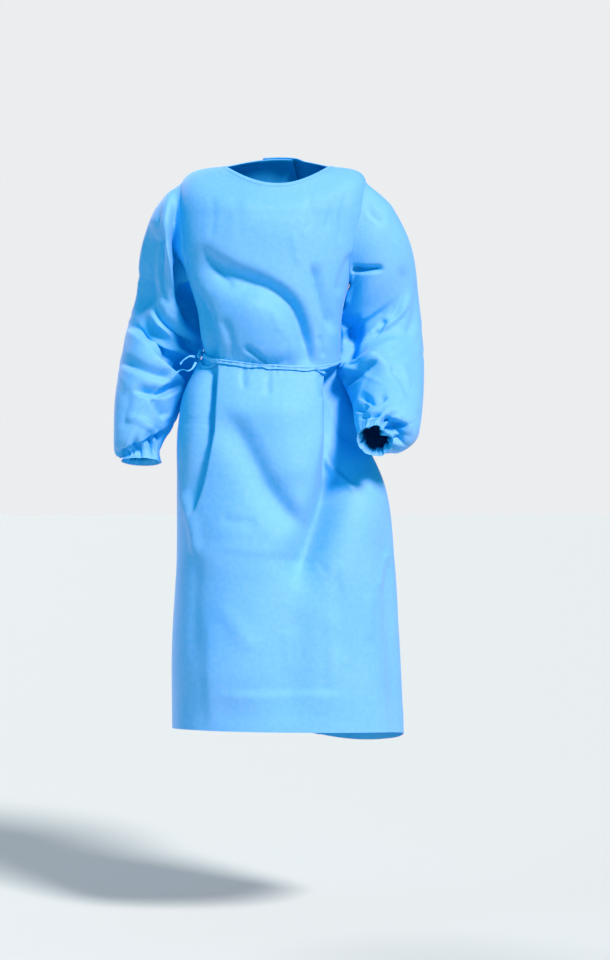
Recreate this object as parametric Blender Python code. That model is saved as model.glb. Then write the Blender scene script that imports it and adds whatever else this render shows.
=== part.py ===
"""Isolation gown of nonwoven cloth, as it hangs on a walking wearer, with nobody in it.

Lengths are metres, angles are degrees. +Z is up and the front faces -Y, so +X is the wearer's left.
The origin is where the wearer carries it: midway between the two neck ends of the shoulder seams.

The body of the gown is one surface, body(angle, level). angle runs round it: 0 at the centre
front, 90 at the left side seam, 180 at the centre back, -90 at the right side seam. level runs up
it: 0 the hem, 1 the waist tie, 2 the chest line, 3 the neck edge. Front, back and binding are cut
from that surface, and each sleeve starts on the armhole that they leave.
"""

import math

import bpy
import numpy as np

for old in list(bpy.data.objects):
    bpy.data.objects.remove(old)

# ---------------------------------------------------------------- driving dimensions

CLOTH = 0.0016  # wall of the solids
SEAM_GAP = 0.0003  # between two pieces that are sewn together
CLOTH_BLUE = (0.20, 0.56, 0.90)
TIE_BLUE = (0.24, 0.60, 0.92)

SIDE_SEAM = 90.0  # angle of the side and shoulder seams
BACK_EDGE = 196.0  # each back panel ends this far round, past the centre back
BACK_LIFT = 0.005  # the left back panel lies this far outside the right one
LIFT_FROM, LIFT_FULL = 146.0, 162.0  # where it rises off the surface
ROUNDNESS = 2.3  # exponent of the sections: 2 is an ellipse, more is boxier

WAIST_HEIGHT = -0.390
CHEST_HEIGHT = -0.100
HEM_HEIGHT = -1.130

# The gown cut across: x of the wearer's right and left side, y of the front, back and widest
# place.
SECTION_COLUMNS = ("height", "right_side", "left_side", "front", "back", "widest")
SECTIONS = (
    (HEM_HEIGHT, -0.206, 0.258, -0.180, 0.195, 0.010),
    (-0.960, -0.206, 0.250, -0.178, 0.185, 0.005),
    (-0.790, -0.197, 0.240, -0.172, 0.172, 0.000),
    (-0.630, -0.196, 0.218, -0.162, 0.158, 0.000),
    (-0.530, -0.194, 0.174, -0.150, 0.148, 0.000),
    (-0.460, -0.180, 0.151, -0.136, 0.132, -0.002),
    (-0.420, -0.160, 0.139, -0.124, 0.112, -0.005),
    (WAIST_HEIGHT, -0.143, 0.132, -0.112, 0.096, -0.008),
    (-0.350, -0.148, 0.132, -0.126, 0.106, -0.012),
    (-0.300, -0.154, 0.134, -0.136, 0.114, -0.012),
    (-0.236, -0.172, 0.148, -0.138, 0.120, -0.006),
    (-0.170, -0.188, 0.168, -0.134, 0.118, 0.000),
    (CHEST_HEIGHT, -0.196, 0.186, -0.122, 0.108, 0.000),
)

# Heights that change round the gown: it is tied a little aslant, and its back hangs lower.
ROUND_COLUMNS = ("angle", "hem", "waist")
ROUND_THE_GOWN = (
    (-180, -1.150, -0.384),
    (-135, -1.136, -0.378),
    (-90, -1.124, -0.376),
    (-45, -1.112, -0.390),
    (0, -1.110, -0.401),
    (45, -1.116, -0.402),
    (90, -1.136, -0.390),
    (120, -1.158, -0.386),
    (150, -1.168, -0.385),
    (180, -1.150, -0.384),
)

# Neck edge, and how the cloth rises to it from the chest line, at the sides, front and back.
NECK_CENTRE = 0.005
NECK_HALF_WIDTH = 0.112
NECK_WIDEST, NECK_FRONT, NECK_BACK = -0.006, -0.088, 0.070  # y
PLACE_COLUMNS = ("place", "neck_height", "rise", "run_out", "slope")
PLACES = (
    ("side", -0.002, 0.083, 0.072, 4.0),
    ("front", -0.046, 0.022, 0.020, 62.0),
    ("back", 0.012, 0.045, 0.035, 38.0),
)

# Armholes: an oval on the body surface, from the armpit up to the shoulder tip.
ARMPIT_LEVEL = 1.53
TIP_LEVEL = 2.42
BELOW_CHEST, ABOVE_CHEST = 0.136, 0.075  # length of armhole either side of the chest line
ARMHOLE_FRONT = {"left": 28.0, "right": 24.0}  # how far it reaches forward, and back
ARMHOLE_BACK = 28.0

# Folds of the body: a trough, or a ridge where depth is negative, from one place to another. Its
# half width on the side facing up or front, and on the side facing down or back, may differ.
FOLD_COLUMNS = ("angle", "height", "to_angle", "to_height", "near_half", "far_half", "depth")
BODY_FOLDS = (
    (-52, -0.165, -8, -0.222, 0.020, 0.026, 0.010),  # drag line from the right armpit under the bust
    (-10, -0.216, 20, -0.290, 0.018, 0.024, 0.012),
    (20, -0.270, 26, -0.395, 0.012, 0.020, 0.013),
    (24, -0.205, 42, -0.330, 0.010, 0.014, 0.008),
    (-66, -0.240, -50, -0.385, 0.012, 0.016, 0.013),
    (-46, -0.370, -52, -0.740, 0.030, 0.011, 0.024),  # beside the right hip, steep to the front
    (58, -0.385, 44, -0.740, 0.034, 0.042, 0.036),  # hollow under the left arm
    (-30, -0.500, 16, -0.720, 0.030, 0.030, 0.013),  # drag line under the belly
    (-22, -0.620, -30, -1.120, 0.070, 0.060, -0.016),  # over the leading thigh
    (12, -0.800, 8, -1.130, 0.034, 0.040, 0.012),
    (62, -0.720, 66, -1.150, 0.030, 0.030, 0.014),
    (104, -0.400, 100, -0.900, 0.026, 0.026, 0.020),
    (132, -0.400, 128, -1.170, 0.028, 0.028, 0.022),
    (158, -0.420, 160, -1.170, 0.024, 0.024, 0.012),
    (-104, -0.400, -100, -0.950, 0.026, 0.026, 0.018),
    (-130, -0.400, -134, -1.160, 0.028, 0.028, 0.020),
    (150, -0.180, 138, -0.380, 0.020, 0.020, 0.012),
    (-150, -0.190, -140, -0.380, 0.020, 0.020, 0.012),
)
METRES_PER_DEGREE = 0.003  # round the body, for the run and the width of its folds

# Gathers that the waist tie draws in.
GATHERS = 24
GATHER_DEPTH = 0.0042
GATHER_PEAK, GATHER_FADE = 0.018, 0.034  # distance from the tie to their fullest, and their decay

# The sleeves, section by section from the armhole: centre, half widths away from the body and
# front to back, the lean of the section in front view, and the forward pitch of the arm.
SLEEVE_COLUMNS = ("x", "y", "z", "across", "through", "lean", "pitch")
SLEEVES = {
    "left": (
        (0.176, 0.000, -0.134, 0.104, 0.070, 78, 0),
        (0.192, 0.010, -0.165, 0.093, 0.075, 62, -4),
        (0.2050, 0.028, -0.219, 0.0915, 0.078, 43, -8),
        (0.208, 0.052, -0.286, 0.086, 0.080, 20, -4),
        (0.213, 0.048, -0.362, 0.086, 0.086, 5, 16),
        (0.220, -0.025, -0.430, 0.077, 0.082, -8, 38),
        (0.222, -0.084, -0.480, 0.070, 0.072, -18, 50),
        (0.220, -0.132, -0.512, 0.066, 0.062, -25, 58),
    ),
    "right": (
        (-0.186, 0.000, -0.130, 0.102, 0.066, 84, 0),
        (-0.210, 0.014, -0.162, 0.083, 0.072, 70, -8),
        (-0.214, 0.048, -0.216, 0.077, 0.078, 45, -16),
        (-0.209, 0.070, -0.280, 0.077, 0.084, 22, -14),
        (-0.222, 0.076, -0.344, 0.080, 0.090, 12, -4),
        (-0.237, 0.064, -0.404, 0.077, 0.086, 6, 10),
        (-0.253, 0.046, -0.466, 0.070, 0.072, -2, 14),
        (-0.262, 0.032, -0.524, 0.064, 0.062, -14, 16),
    ),
}

# Folds of the sleeves: from one place to another, round (0 outer, 90 front, 180 inner, 270 back)
# and along (the number of the section above), with half width and depth in metres.
SLEEVE_FOLD_COLUMNS = ("round", "along", "to_round", "to_along", "half", "depth")
SLEEVE_FOLDS = {
    "left": (
        (150, 1.2, 84, 1.9, 0.015, 0.012),  # wedge in front of the armpit
        (166, 5.20, 92, 5.28, 0.027, -0.021),  # bulge inside the bent elbow
        (150, 3.9, 70, 2.9, 0.014, 0.015),  # rises over the elbow
        (165, 4.5, 84, 4.1, 0.016, 0.018),
        (160, 5.3, 66, 5.0, 0.013, 0.015),
        (40, 4.0, 20, 5.6, 0.016, 0.007),
        (250, 3.0, 330, 3.9, 0.018, 0.014),
        (210, 4.2, 300, 4.5, 0.018, 0.014),
        (240, 5.2, 330, 5.6, 0.016, 0.010),
    ),
    "right": (
        (128, 0.9, 112, 3.2, 0.015, 0.016),  # deep beside the chest
        (156, 4.3, 30, 3.4, 0.014, 0.016),  # up to the elbow's point
        (170, 5.1, 60, 4.3, 0.018, 0.018),
        (160, 5.9, 70, 5.3, 0.014, 0.012),
        (60, 5.4, 30, 6.6, 0.016, 0.008),
        (250, 3.0, 330, 3.8, 0.018, 0.014),
        (210, 4.4, 300, 4.8, 0.018, 0.014),
        (230, 5.6, 310, 6.0, 0.016, 0.010),
    ),
}
SLEEVE_REACH = 0.078  # middle of a sleeve to its cloth, for the run of its folds
SLEEVE_PITCH = 0.065  # one section to the next
LEAVING = 0.030  # how far a sleeve runs straight on from its armhole

# Cuffs: each sleeve's gathered end, from the sleeve over its fullest place to the elastic and the
# edge just beyond it. wave is the height of the gathers.
CUFF_WAVES = 14
CUFF_COLUMNS = ("x", "y", "z", "across", "through", "lean", "pitch", "wave")
CUFFS = {
    "left": (
        (0.220, -0.132, -0.512, 0.066, 0.062, -25, 58, 0.0000),
        (0.216, -0.155, -0.522, 0.058, 0.054, -25, 60, 0.0018),
        (0.207, -0.169, -0.528, 0.045, 0.043, -20, 60, 0.0034),
        (0.199, -0.178, -0.533, 0.034, 0.033, -15, 60, 0.0020),
        (0.197, -0.185, -0.537, 0.033, 0.032, -15, 60, 0.0018),
        (0.195, -0.194, -0.542, 0.037, 0.036, -15, 60, 0.0034),
    ),
    "right": (
        (-0.262, 0.032, -0.524, 0.064, 0.062, -14, 16, 0.0000),
        (-0.268, 0.026, -0.549, 0.056, 0.053, -20, 16, 0.0020),
        (-0.267, 0.023, -0.565, 0.048, 0.044, -12, 16, 0.0036),
        (-0.267, 0.020, -0.576, 0.040, 0.035, -4, 16, 0.0020),
        (-0.268, 0.019, -0.583, 0.039, 0.034, 0, 16, 0.0018),
        (-0.269, 0.017, -0.592, 0.042, 0.037, 2, 16, 0.0032),
    ),
}

BINDING_HEIGHT = 0.009
BINDING_THICKNESS = 0.0026

TIE_THICKNESS = 0.0018
TIE_LIFT = 0.0006  # off the panel's outer face
KNOT_ANGLE = -80.0
KNOT_SIZE = (0.012, 0.018, 0.015)
KNOT_CLEAR = 2.6  # the tie stops this many degrees from the knot's middle, on both sides
STEP_DOWN = 14.0  # degrees over which it comes down off the left back panel's edge
TAIL_HALF_WIDTH = 0.0032

# Free ends of the ties, from the knot outwards.
TAILS = {
    "upper": (
        (-0.158, -0.044, -0.381),
        (-0.168, -0.050, -0.380),
        (-0.178, -0.056, -0.386),
        (-0.187, -0.060, -0.396),
    ),
    "lower": (
        (-0.156, -0.052, -0.392),
        (-0.163, -0.060, -0.404),
        (-0.172, -0.066, -0.409),
        (-0.182, -0.070, -0.407),
        (-0.194, -0.074, -0.413),
        (-0.204, -0.076, -0.424),
    ),
}

# ---------------------------------------------------------------- how fine the solids are

FRONT_STEPS = 42  # columns of the front panel
BACK_STEPS = 14  # columns of each back panel
ARMHOLE_STEPS = 10  # rows from armpit to shoulder tip; a sleeve has four columns for each
SLEEVE_STEPS = 12  # rings of a sleeve
CUFF_STEPS = 56
SKIRT_LEVELS = (0, 0.11, 0.25, 0.39, 0.52, 0.64, 0.75, 0.84, 0.905, 0.95, 0.976, 0.9925)
BODICE_LEVELS = (1.019, 1.08, 1.18, 1.30, 1.42)
SHOULDER_LEVELS = (2.56, 2.70, 2.85, 3.0)


# ---------------------------------------------------------------- curves and tables


def column(table, names, name):
    """One named column of a table."""
    return np.array([row[names.index(name)] for row in table], float)


def through_points(at, known, values):
    """The smooth curve through (known, values): a cubic in each span, with its neighbours' slopes."""
    slope = np.gradient(values, known)
    span = np.clip(np.searchsorted(known, at, side="right") - 1, 0, len(known) - 2)
    width = known[span + 1] - known[span]
    t = np.clip((at - known[span]) / width, 0, 1)
    low, high = values[span], values[span + 1]
    return (
        low * (1 + 2 * t) * (1 - t) ** 2
        + slope[span] * width * t * (1 - t) ** 2
        + high * t * t * (3 - 2 * t)
        + slope[span + 1] * width * t * t * (t - 1)
    )


def smoothstep(value):
    """0 below 0, 1 above 1, and a soft ramp between them."""
    t = np.clip(value, 0, 1)
    return t * t * (3 - 2 * t)


def sine(angle):
    return np.sin(np.radians(angle))


def cosine(angle):
    return np.cos(np.radians(angle))


def half_turn(angle):
    """The same angle between -180 and 180."""
    return (angle + 180) % 360 - 180


def unit(vectors):
    return vectors / np.linalg.norm(vectors, axis=-1, keepdims=True)


# ---------------------------------------------------------------- the body surface


def level_heights(angle, level):
    """(height, height of the level section that gives its sizes, height over the tie)."""
    around = column(ROUND_THE_GOWN, ROUND_COLUMNS, "angle")
    hem = through_points(angle, around, column(ROUND_THE_GOWN, ROUND_COLUMNS, "hem"))
    waist = through_points(angle, around, column(ROUND_THE_GOWN, ROUND_COLUMNS, "waist"))
    skirt, bodice = np.clip(level, 0, 1), np.clip(level - 1, 0, 1)
    true = hem + (waist - hem) * skirt + (CHEST_HEIGHT - waist) * bodice
    nominal = HEM_HEIGHT + (WAIST_HEIGHT - HEM_HEIGHT) * skirt + (CHEST_HEIGHT - WAIST_HEIGHT) * bodice
    return true, nominal, true - waist


def fold_shape(run, rise, to_run, to_rise, near_half, far_half):
    """A fold's depth, 0 to 1, at places (run, rise) in metres from its start.

    It is a bell across the fold, faded at both ends.
    """
    length = np.hypot(to_run, to_rise)
    share = (run * to_run + rise * to_rise) / length**2
    aside = (rise * to_run - run * to_rise) / length
    half = np.where(aside > 0, near_half, far_half)
    ends = smoothstep((share + 0.12) / 0.36) * smoothstep((1.12 - share) / 0.36)
    return np.exp(-((aside / half) ** 2)) * ends


def fold_depth(angle, height):
    """How far the folds push the cloth in at a place, in metres."""
    depth = np.zeros(np.shape(angle))
    for at_angle, at_height, to_angle, to_height, near_half, far_half, deep in BODY_FOLDS:
        run = half_turn(angle - at_angle) * METRES_PER_DEGREE
        to_run = (to_angle - at_angle) * METRES_PER_DEGREE
        rise, to_rise = height - at_height, to_height - at_height
        depth += deep * fold_shape(run, rise, to_run, to_rise, near_half, far_half)
    return depth


def gather_depth(angle, from_tie):
    """The small pleats that the tie draws in: none under it, fullest just above and below, then fading."""
    far = np.abs(from_tie) / GATHER_PEAK
    swell = far * np.exp(1 - far) * np.exp(-np.abs(from_tie) / GATHER_FADE)
    uneven = 1 + 0.45 * sine(3 * angle + 40) + 0.25 * sine(7 * angle)
    pleats = 0.5 - 0.5 * cosine(GATHERS * angle)
    return GATHER_DEPTH * swell * uneven * pleats * np.where(from_tie > 0, 0.7, 1.0)


def place_value(angle, name):
    """A value of PLACES, eased between the side, front and back by the square of the cosine."""
    side, front, back = column(PLACES, PLACE_COLUMNS, name)
    ahead = cosine(angle)
    return side + (np.where(ahead > 0, front, back) - side) * ahead**2


def section(angle, nominal):
    """x and y of the plain section at a height: a rounded oval with its own four half widths."""
    heights = column(SECTIONS, SECTION_COLUMNS, "height")
    right, left, front, back, widest = (
        through_points(nominal, heights, column(SECTIONS, SECTION_COLUMNS, name))
        for name in SECTION_COLUMNS[1:]
    )
    centre = (right + left) / 2
    half = (left - right) / 2
    s, c = sine(angle), cosine(angle)
    swell = (np.abs(s) ** ROUNDNESS + np.abs(c) ** ROUNDNESS) ** (-1 / ROUNDNESS)
    deep = np.where(c > 0, widest - front, back - widest)
    return centre + half * swell * s, widest - deep * swell * c


def plain_body(angle, level):
    """The body surface without folds."""
    true, nominal, _ = level_heights(angle, level)
    x, y = section(angle, nominal)
    t = np.clip(level - 2, 0, 1)
    ahead, side = cosine(angle), sine(angle)
    neck_x = NECK_CENTRE + NECK_HALF_WIDTH * side
    neck_y = NECK_WIDEST - np.where(ahead > 0, NECK_WIDEST - NECK_FRONT, NECK_BACK - NECK_WIDEST) * ahead
    neck_z = place_value(angle, "neck_height")
    out_x, out_y = x - neck_x, y - neck_y
    run = np.hypot(out_x, out_y)
    reach, slope = place_value(angle, "run_out"), place_value(angle, "slope")
    rise = place_value(angle, "rise")
    start, lift, lean, end = (1 - t) ** 3, 3 * t * (1 - t) ** 2, 3 * t * t * (1 - t), t**3
    lean_x = neck_x + out_x / run * reach * cosine(slope)
    lean_y = neck_y + out_y / run * reach * cosine(slope)
    lean_z = neck_z - reach * sine(slope)
    px = (start + lift) * x + lean * lean_x + end * neck_x
    py = (start + lift) * y + lean * lean_y + end * neck_y
    pz = start * true + lift * (true + rise) + lean * lean_z + end * neck_z
    return np.stack(np.broadcast_arrays(px, py, pz), axis=-1)


def body(angle, level, lift=0.0):
    """Points of the gown's outer face. The left back panel is lifted over the right one by its angle."""
    angle, level = np.broadcast_arrays(np.asarray(angle, float), np.asarray(level, float))
    wrapped = half_turn(angle)
    points = plain_body(wrapped, level)
    from_tie = level_heights(wrapped, level)[2]
    depth = fold_depth(wrapped, points[..., 2]) + gather_depth(wrapped, from_tie)
    fade = smoothstep((2.9 - level) / 0.9)
    outward = body_normals(wrapped, level)
    over = BACK_LIFT * smoothstep((angle - LIFT_FROM) / (LIFT_FULL - LIFT_FROM))
    return points + outward * (over + lift - depth * fade)[..., None]


def body_normals(angle, level):
    """Unit normals of the plain surface, pointing out of the gown."""
    step = 0.4
    above, below = np.clip(level + 0.01, 0, 3), np.clip(level - 0.01, 0, 3)
    round_it = plain_body(half_turn(angle + step), level) - plain_body(half_turn(angle - step), level)
    up = plain_body(angle, above) - plain_body(angle, below)
    return unit(np.cross(round_it, up))


# ---------------------------------------------------------------- walls and objects


def finish_of(name, colour, roughness):
    """A matte cloth material."""
    material = bpy.data.materials.new(name)
    material.use_nodes = True
    shader = material.node_tree.nodes["Principled BSDF"]
    shader.inputs["Base Color"].default_value = (*colour, 1)
    shader.inputs["Roughness"].default_value = roughness
    shader.inputs["Metallic"].default_value = 0.0
    return material


CLOTH_FINISH = finish_of("nonwoven_blue", CLOTH_BLUE, 0.62)
TIE_FINISH = finish_of("tie_blue", TIE_BLUE, 0.6)


def make_object(name, points, faces, finish):
    mesh = bpy.data.meshes.new(name)
    mesh.from_pydata([tuple(p) for p in points], [], faces)
    mesh.materials.append(finish)
    mesh.validate()
    mesh.shade_smooth()
    mesh.set_sharp_from_angle(angle=math.radians(50))
    made = bpy.data.objects.new(name, mesh)
    bpy.context.scene.collection.objects.link(made)
    return made


def wall(name, outer, inner, finish, closed_round=False):
    """A closed wall between two grids of points, [row, column], both split along the same diagonals."""
    rows, columns = outer.shape[:2]
    inside = rows * columns
    faces = []
    around = columns if closed_round else columns - 1

    def at(row, place):
        return row * columns + place % columns

    for row in range(rows - 1):
        for place in range(around):
            a, b = at(row, place), at(row, place + 1)
            d, c = at(row + 1, place), at(row + 1, place + 1)
            flat = outer.reshape(-1, 3)
            short = np.linalg.norm(flat[a] - flat[c]) <= np.linalg.norm(flat[b] - flat[d])
            for tri in ((a, b, c), (a, c, d)) if short else ((a, b, d), (b, c, d)):
                faces.append(tri)
                faces.append(tuple(inside + i for i in reversed(tri)))
    rims = [[at(0, p) for p in range(around + 1)][::-1], [at(rows - 1, p) for p in range(around + 1)]]
    if not closed_round:
        rims.append([at(r, 0) for r in range(rows)])
        rims.append([at(r, columns - 1) for r in range(rows)][::-1])
    for rim in rims:
        for one, two in zip(rim, rim[1:]):
            faces.append((one, two, inside + two))
            faces.append((one, inside + two, inside + one))
    points = np.concatenate([outer.reshape(-1, 3), inner.reshape(-1, 3)])
    return make_object(name, points, faces, finish)


def drawn_in(edge, neighbours, distance):
    """An edge moved towards the next points of its own panel, to leave the seam's gap."""
    return edge + unit(neighbours - edge) * distance


def trim_seams(grid, sides=(), ends=()):
    """A panel's grid with half a seam gap taken off the columns and rows that are sewn."""
    grid = grid.copy()
    for at, towards in sides:
        grid[:, at] = drawn_in(grid[:, at], grid[:, towards], SEAM_GAP / 2)
    for at, towards in ends:
        grid[at] = drawn_in(grid[at], grid[towards], SEAM_GAP / 2)
    return grid


# ---------------------------------------------------------------- panels of the body


def armhole_level(height_share):
    """Level of the body at a share of the armhole's height, -1 at the armpit and 1 at the shoulder tip."""
    length = (height_share + 1) / 2 * (BELOW_CHEST + ABOVE_CHEST)
    below = ARMPIT_LEVEL + (2 - ARMPIT_LEVEL) * length / BELOW_CHEST
    above = 2 + (TIP_LEVEL - 2) * (length - BELOW_CHEST) / ABOVE_CHEST
    return np.where(length < BELOW_CHEST, below, above)


ARMHOLE_TURNS = np.linspace(180, 0, ARMHOLE_STEPS + 1)
ROW_LEVELS = np.concatenate(
    [SKIRT_LEVELS, BODICE_LEVELS, armhole_level(cosine(ARMHOLE_TURNS)), SHOULDER_LEVELS]
)
# How open the armhole is at each row: 0 where the panel runs to its seam.
ROW_OPENING = np.concatenate(
    [np.zeros(len(SKIRT_LEVELS) + len(BODICE_LEVELS)), sine(ARMHOLE_TURNS), np.zeros(len(SHOULDER_LEVELS))]
)


def panel_grid(angles):
    """(outer, inner) points for angles[row, column]."""
    levels = np.broadcast_to(ROW_LEVELS[:, None], angles.shape)
    outer = body(angles, levels)
    inner = body(angles, levels, -CLOTH)
    return outer, inner


def front_panel():
    """The front, in one piece from side seam to side seam, with the front halves of both armholes."""
    right = -SIDE_SEAM + ARMHOLE_FRONT["right"] * ROW_OPENING
    left = SIDE_SEAM - ARMHOLE_FRONT["left"] * ROW_OPENING
    share = np.linspace(0, 1, FRONT_STEPS + 1)
    outer, inner = panel_grid(right[:, None] + (left - right)[:, None] * share)
    cut = {"sides": ((0, 1), (-1, -2)), "ends": ((-1, -2),)}
    return wall("front_panel", trim_seams(outer, **cut), trim_seams(inner, **cut), CLOTH_FINISH)


def back_panel(side):
    """One half of the open back, from its side seam past the centre back."""
    sign = 1 if side == "left" else -1
    seam = SIDE_SEAM + ARMHOLE_BACK * ROW_OPENING
    share = np.linspace(0, 1, BACK_STEPS + 1)
    angles = sign * (seam[:, None] + (BACK_EDGE - seam)[:, None] * share)
    if side == "right":
        angles = angles[:, ::-1]
    outer, inner = panel_grid(angles)
    sewn = ((0, 1),) if side == "left" else ((-1, -2),)
    cut = {"sides": sewn, "ends": ((-1, -2),)}
    return wall(f"back_panel_{side}", trim_seams(outer, **cut), trim_seams(inner, **cut), CLOTH_FINISH)


def neck_binding():
    """The strip that binds the neck edge, from one back edge to the other, standing on the panels' tops."""
    front = np.linspace(-SIDE_SEAM, SIDE_SEAM, FRONT_STEPS + 1)
    back = np.linspace(SIDE_SEAM, BACK_EDGE, BACK_STEPS + 1)[1:]
    angles = np.concatenate([-back[::-1], front, back])
    edge = body(angles, 3.0)
    below = body(angles, 2.93)
    up = unit(edge - below)
    out = body_normals(half_turn(angles), np.full(len(angles), 3.0))
    proud = (BINDING_THICKNESS - CLOTH) / 2
    rows = [edge + up * (SEAM_GAP / 2 + BINDING_HEIGHT * share) for share in (0, 1)]
    outer = np.stack([row + out * proud for row in rows])
    inner = np.stack([row - out * (BINDING_THICKNESS - proud) for row in rows])
    return wall("neck_binding", outer, inner, TIE_FINISH)


# ---------------------------------------------------------------- sleeves and cuffs


def station(table, names, along):
    """Every column of a sleeve or cuff table, read at a place along it, as a dictionary."""
    number = np.arange(len(table), dtype=float)
    return {name: through_points(along, number, column(table, names, name)) for name in names}


def ring(side, now, turn):
    """Points of a sleeve's ring: turn 0 is its outer side, 90 its front, 180 the side towards the body."""
    sign = 1 if side == "left" else -1
    zero = np.zeros_like(now["lean"])
    out = np.stack([sign * cosine(now["lean"]), zero, sine(now["lean"])], axis=-1)
    down = np.stack([sign * sine(now["lean"]), zero, -cosine(now["lean"])], axis=-1)
    ahead = np.stack([zero, zero - 1, zero], axis=-1)
    pitch = now["pitch"][..., None]
    front = ahead * cosine(pitch) - down * sine(pitch)
    centre = np.stack([now["x"], now["y"], now["z"]], axis=-1)
    across = (now["across"] * cosine(turn))[..., None] * out
    through = (now["through"] * sine(turn))[..., None] * front
    return centre + across + through


def armhole_edge(side, turn):
    """(angle, level) on the body surface of the armhole's edge, at a turn round the sleeve."""
    sign = 1 if side == "left" else -1
    ahead = sine(turn)
    reach = np.where(ahead > 0, ARMHOLE_FRONT[side], ARMHOLE_BACK)
    return sign * (SIDE_SEAM - reach * ahead), armhole_level(cosine(turn))


def armhole_frame(side, turn):
    """(edge points, normals, directions off the panel) round the armhole."""
    angle, level = armhole_edge(side, turn)
    edge = body(angle, level)
    normal = body_normals(angle, level)
    following = body(*armhole_edge(side, turn + 1)) - body(*armhole_edge(side, turn - 1))
    off = unit(np.cross(following, normal))
    to_middle = np.mean(edge, axis=0) - edge
    off *= np.sign(np.sum(off * to_middle, axis=-1, keepdims=True))
    return edge, normal, off


def sleeve_fold_depth(side, turn, along):
    """How far the folds push a sleeve's cloth in at a place, in metres."""
    depth = np.zeros(np.shape(turn))
    for at_turn, at_along, to_turn, to_along, half, deep in SLEEVE_FOLDS[side]:
        run = np.radians(half_turn(turn - at_turn)) * SLEEVE_REACH
        to_run = math.radians(to_turn - at_turn) * SLEEVE_REACH
        rise, to_rise = (along - at_along) * SLEEVE_PITCH, (to_along - at_along) * SLEEVE_PITCH
        depth += deep * fold_shape(run, rise, to_run, to_rise, half, half)
    return depth


def sleeve_surface(side, turn, along):
    """The sleeve's outer face. It leaves the armhole in the panel's plane at the shoulder and square to it
    under the arm, then takes up the rings."""
    now = station(SLEEVES[side], SLEEVE_COLUMNS, along)
    points = ring(side, now, turn)
    depth = sleeve_fold_depth(side, turn, along) * smoothstep((len(SLEEVES[side]) - 1 - along) / 0.8)
    centre = np.stack([now["x"], now["y"], now["z"]], axis=-1)
    points = points - unit(points - centre) * (depth * smoothstep((along - 0.3) / 0.6))[..., None]
    edge, normal, off = armhole_frame(side, turn[0])
    top = (0.5 + 0.5 * cosine(turn))[..., None]
    away = unit(off * top + normal * (1.05 - top))
    start = edge + off * SEAM_GAP / 2 + away * (0.3 + 0.7 * top) * LEAVING * along[..., None]
    return start + (points - start) * smoothstep(along)[..., None]


def grid_normals(grid):
    """Unit normals of a grid [row, column] that closes on itself round its columns."""
    across = np.roll(grid, -1, axis=1) - np.roll(grid, 1, axis=1)
    return unit(np.cross(across, np.gradient(grid, axis=0)))


def sleeve(side):
    """One sleeve, a tube from the armhole to the top of its cuff."""
    turns = np.arange(4 * ARMHOLE_STEPS) * 90 / ARMHOLE_STEPS
    spread = np.linspace(0, 1, SLEEVE_STEPS + 1)
    turn, place = np.meshgrid(turns, (len(SLEEVES[side]) - 1) * (0.4 * spread**2 + 0.6 * spread))
    outer = sleeve_surface(side, turn, place)
    normals = grid_normals(outer)
    if side == "right":
        normals = -normals
    _, square, off = armhole_frame(side, turns)
    top = (0.5 + 0.5 * cosine(turns))[:, None]
    normals[0] = unit(square * top - off * (1 - top))
    inner = outer - normals * CLOTH
    for grid in (outer, inner):
        grid[0, 1::2] = (grid[0, 0::2] + np.roll(grid[0, 0::2], -1, axis=0)) / 2
    sleeve_end = outer[-1].copy(), inner[-1].copy()
    if side == "right":
        outer, inner = outer[:, ::-1], inner[:, ::-1]
    wall(f"sleeve_{side}", outer, inner, CLOTH_FINISH, closed_round=True)
    return sleeve_end


def along_ring(points, turns):
    """Places at some turns along the straight edges between a ring's points."""
    at = np.arange(len(points)) * 360 / len(points)
    return np.stack([np.interp(turns, at, points[:, k], period=360) for k in range(3)], axis=-1)


def cuff(side, sleeve_end):
    """The end of a sleeve: gathered by elastic, with a short edge beyond it, from the sleeve's last ring."""
    turns = np.arange(CUFF_STEPS) * 360 / CUFF_STEPS
    turn, place = np.meshgrid(turns, np.arange(len(CUFFS[side]), dtype=float))
    now = station(CUFFS[side], CUFF_COLUMNS, place)
    outer = ring(side, now, turn)
    centre = np.stack([now["x"], now["y"], now["z"]], axis=-1)
    uneven = 1 + 0.3 * sine(2 * turn + 50) + 0.2 * sine(5 * turn)
    wave = now["wave"] * uneven * cosine(CUFF_WAVES * turn)
    outer = outer + unit(outer - centre) * wave[..., None]
    normals = grid_normals(outer)
    if side == "right":
        normals = -normals
    inner = outer - normals * CLOTH
    ahead = unit(np.mean(outer[1], axis=0) - np.mean(outer[0], axis=0)) * SEAM_GAP
    outer[0], inner[0] = (along_ring(edge, turns) + ahead for edge in sleeve_end)
    if side == "right":
        outer, inner = outer[:, ::-1], inner[:, ::-1]
    return wall(f"cuff_{side}", outer, inner, CLOTH_FINISH, closed_round=True)


# ---------------------------------------------------------------- waist tie


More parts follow.
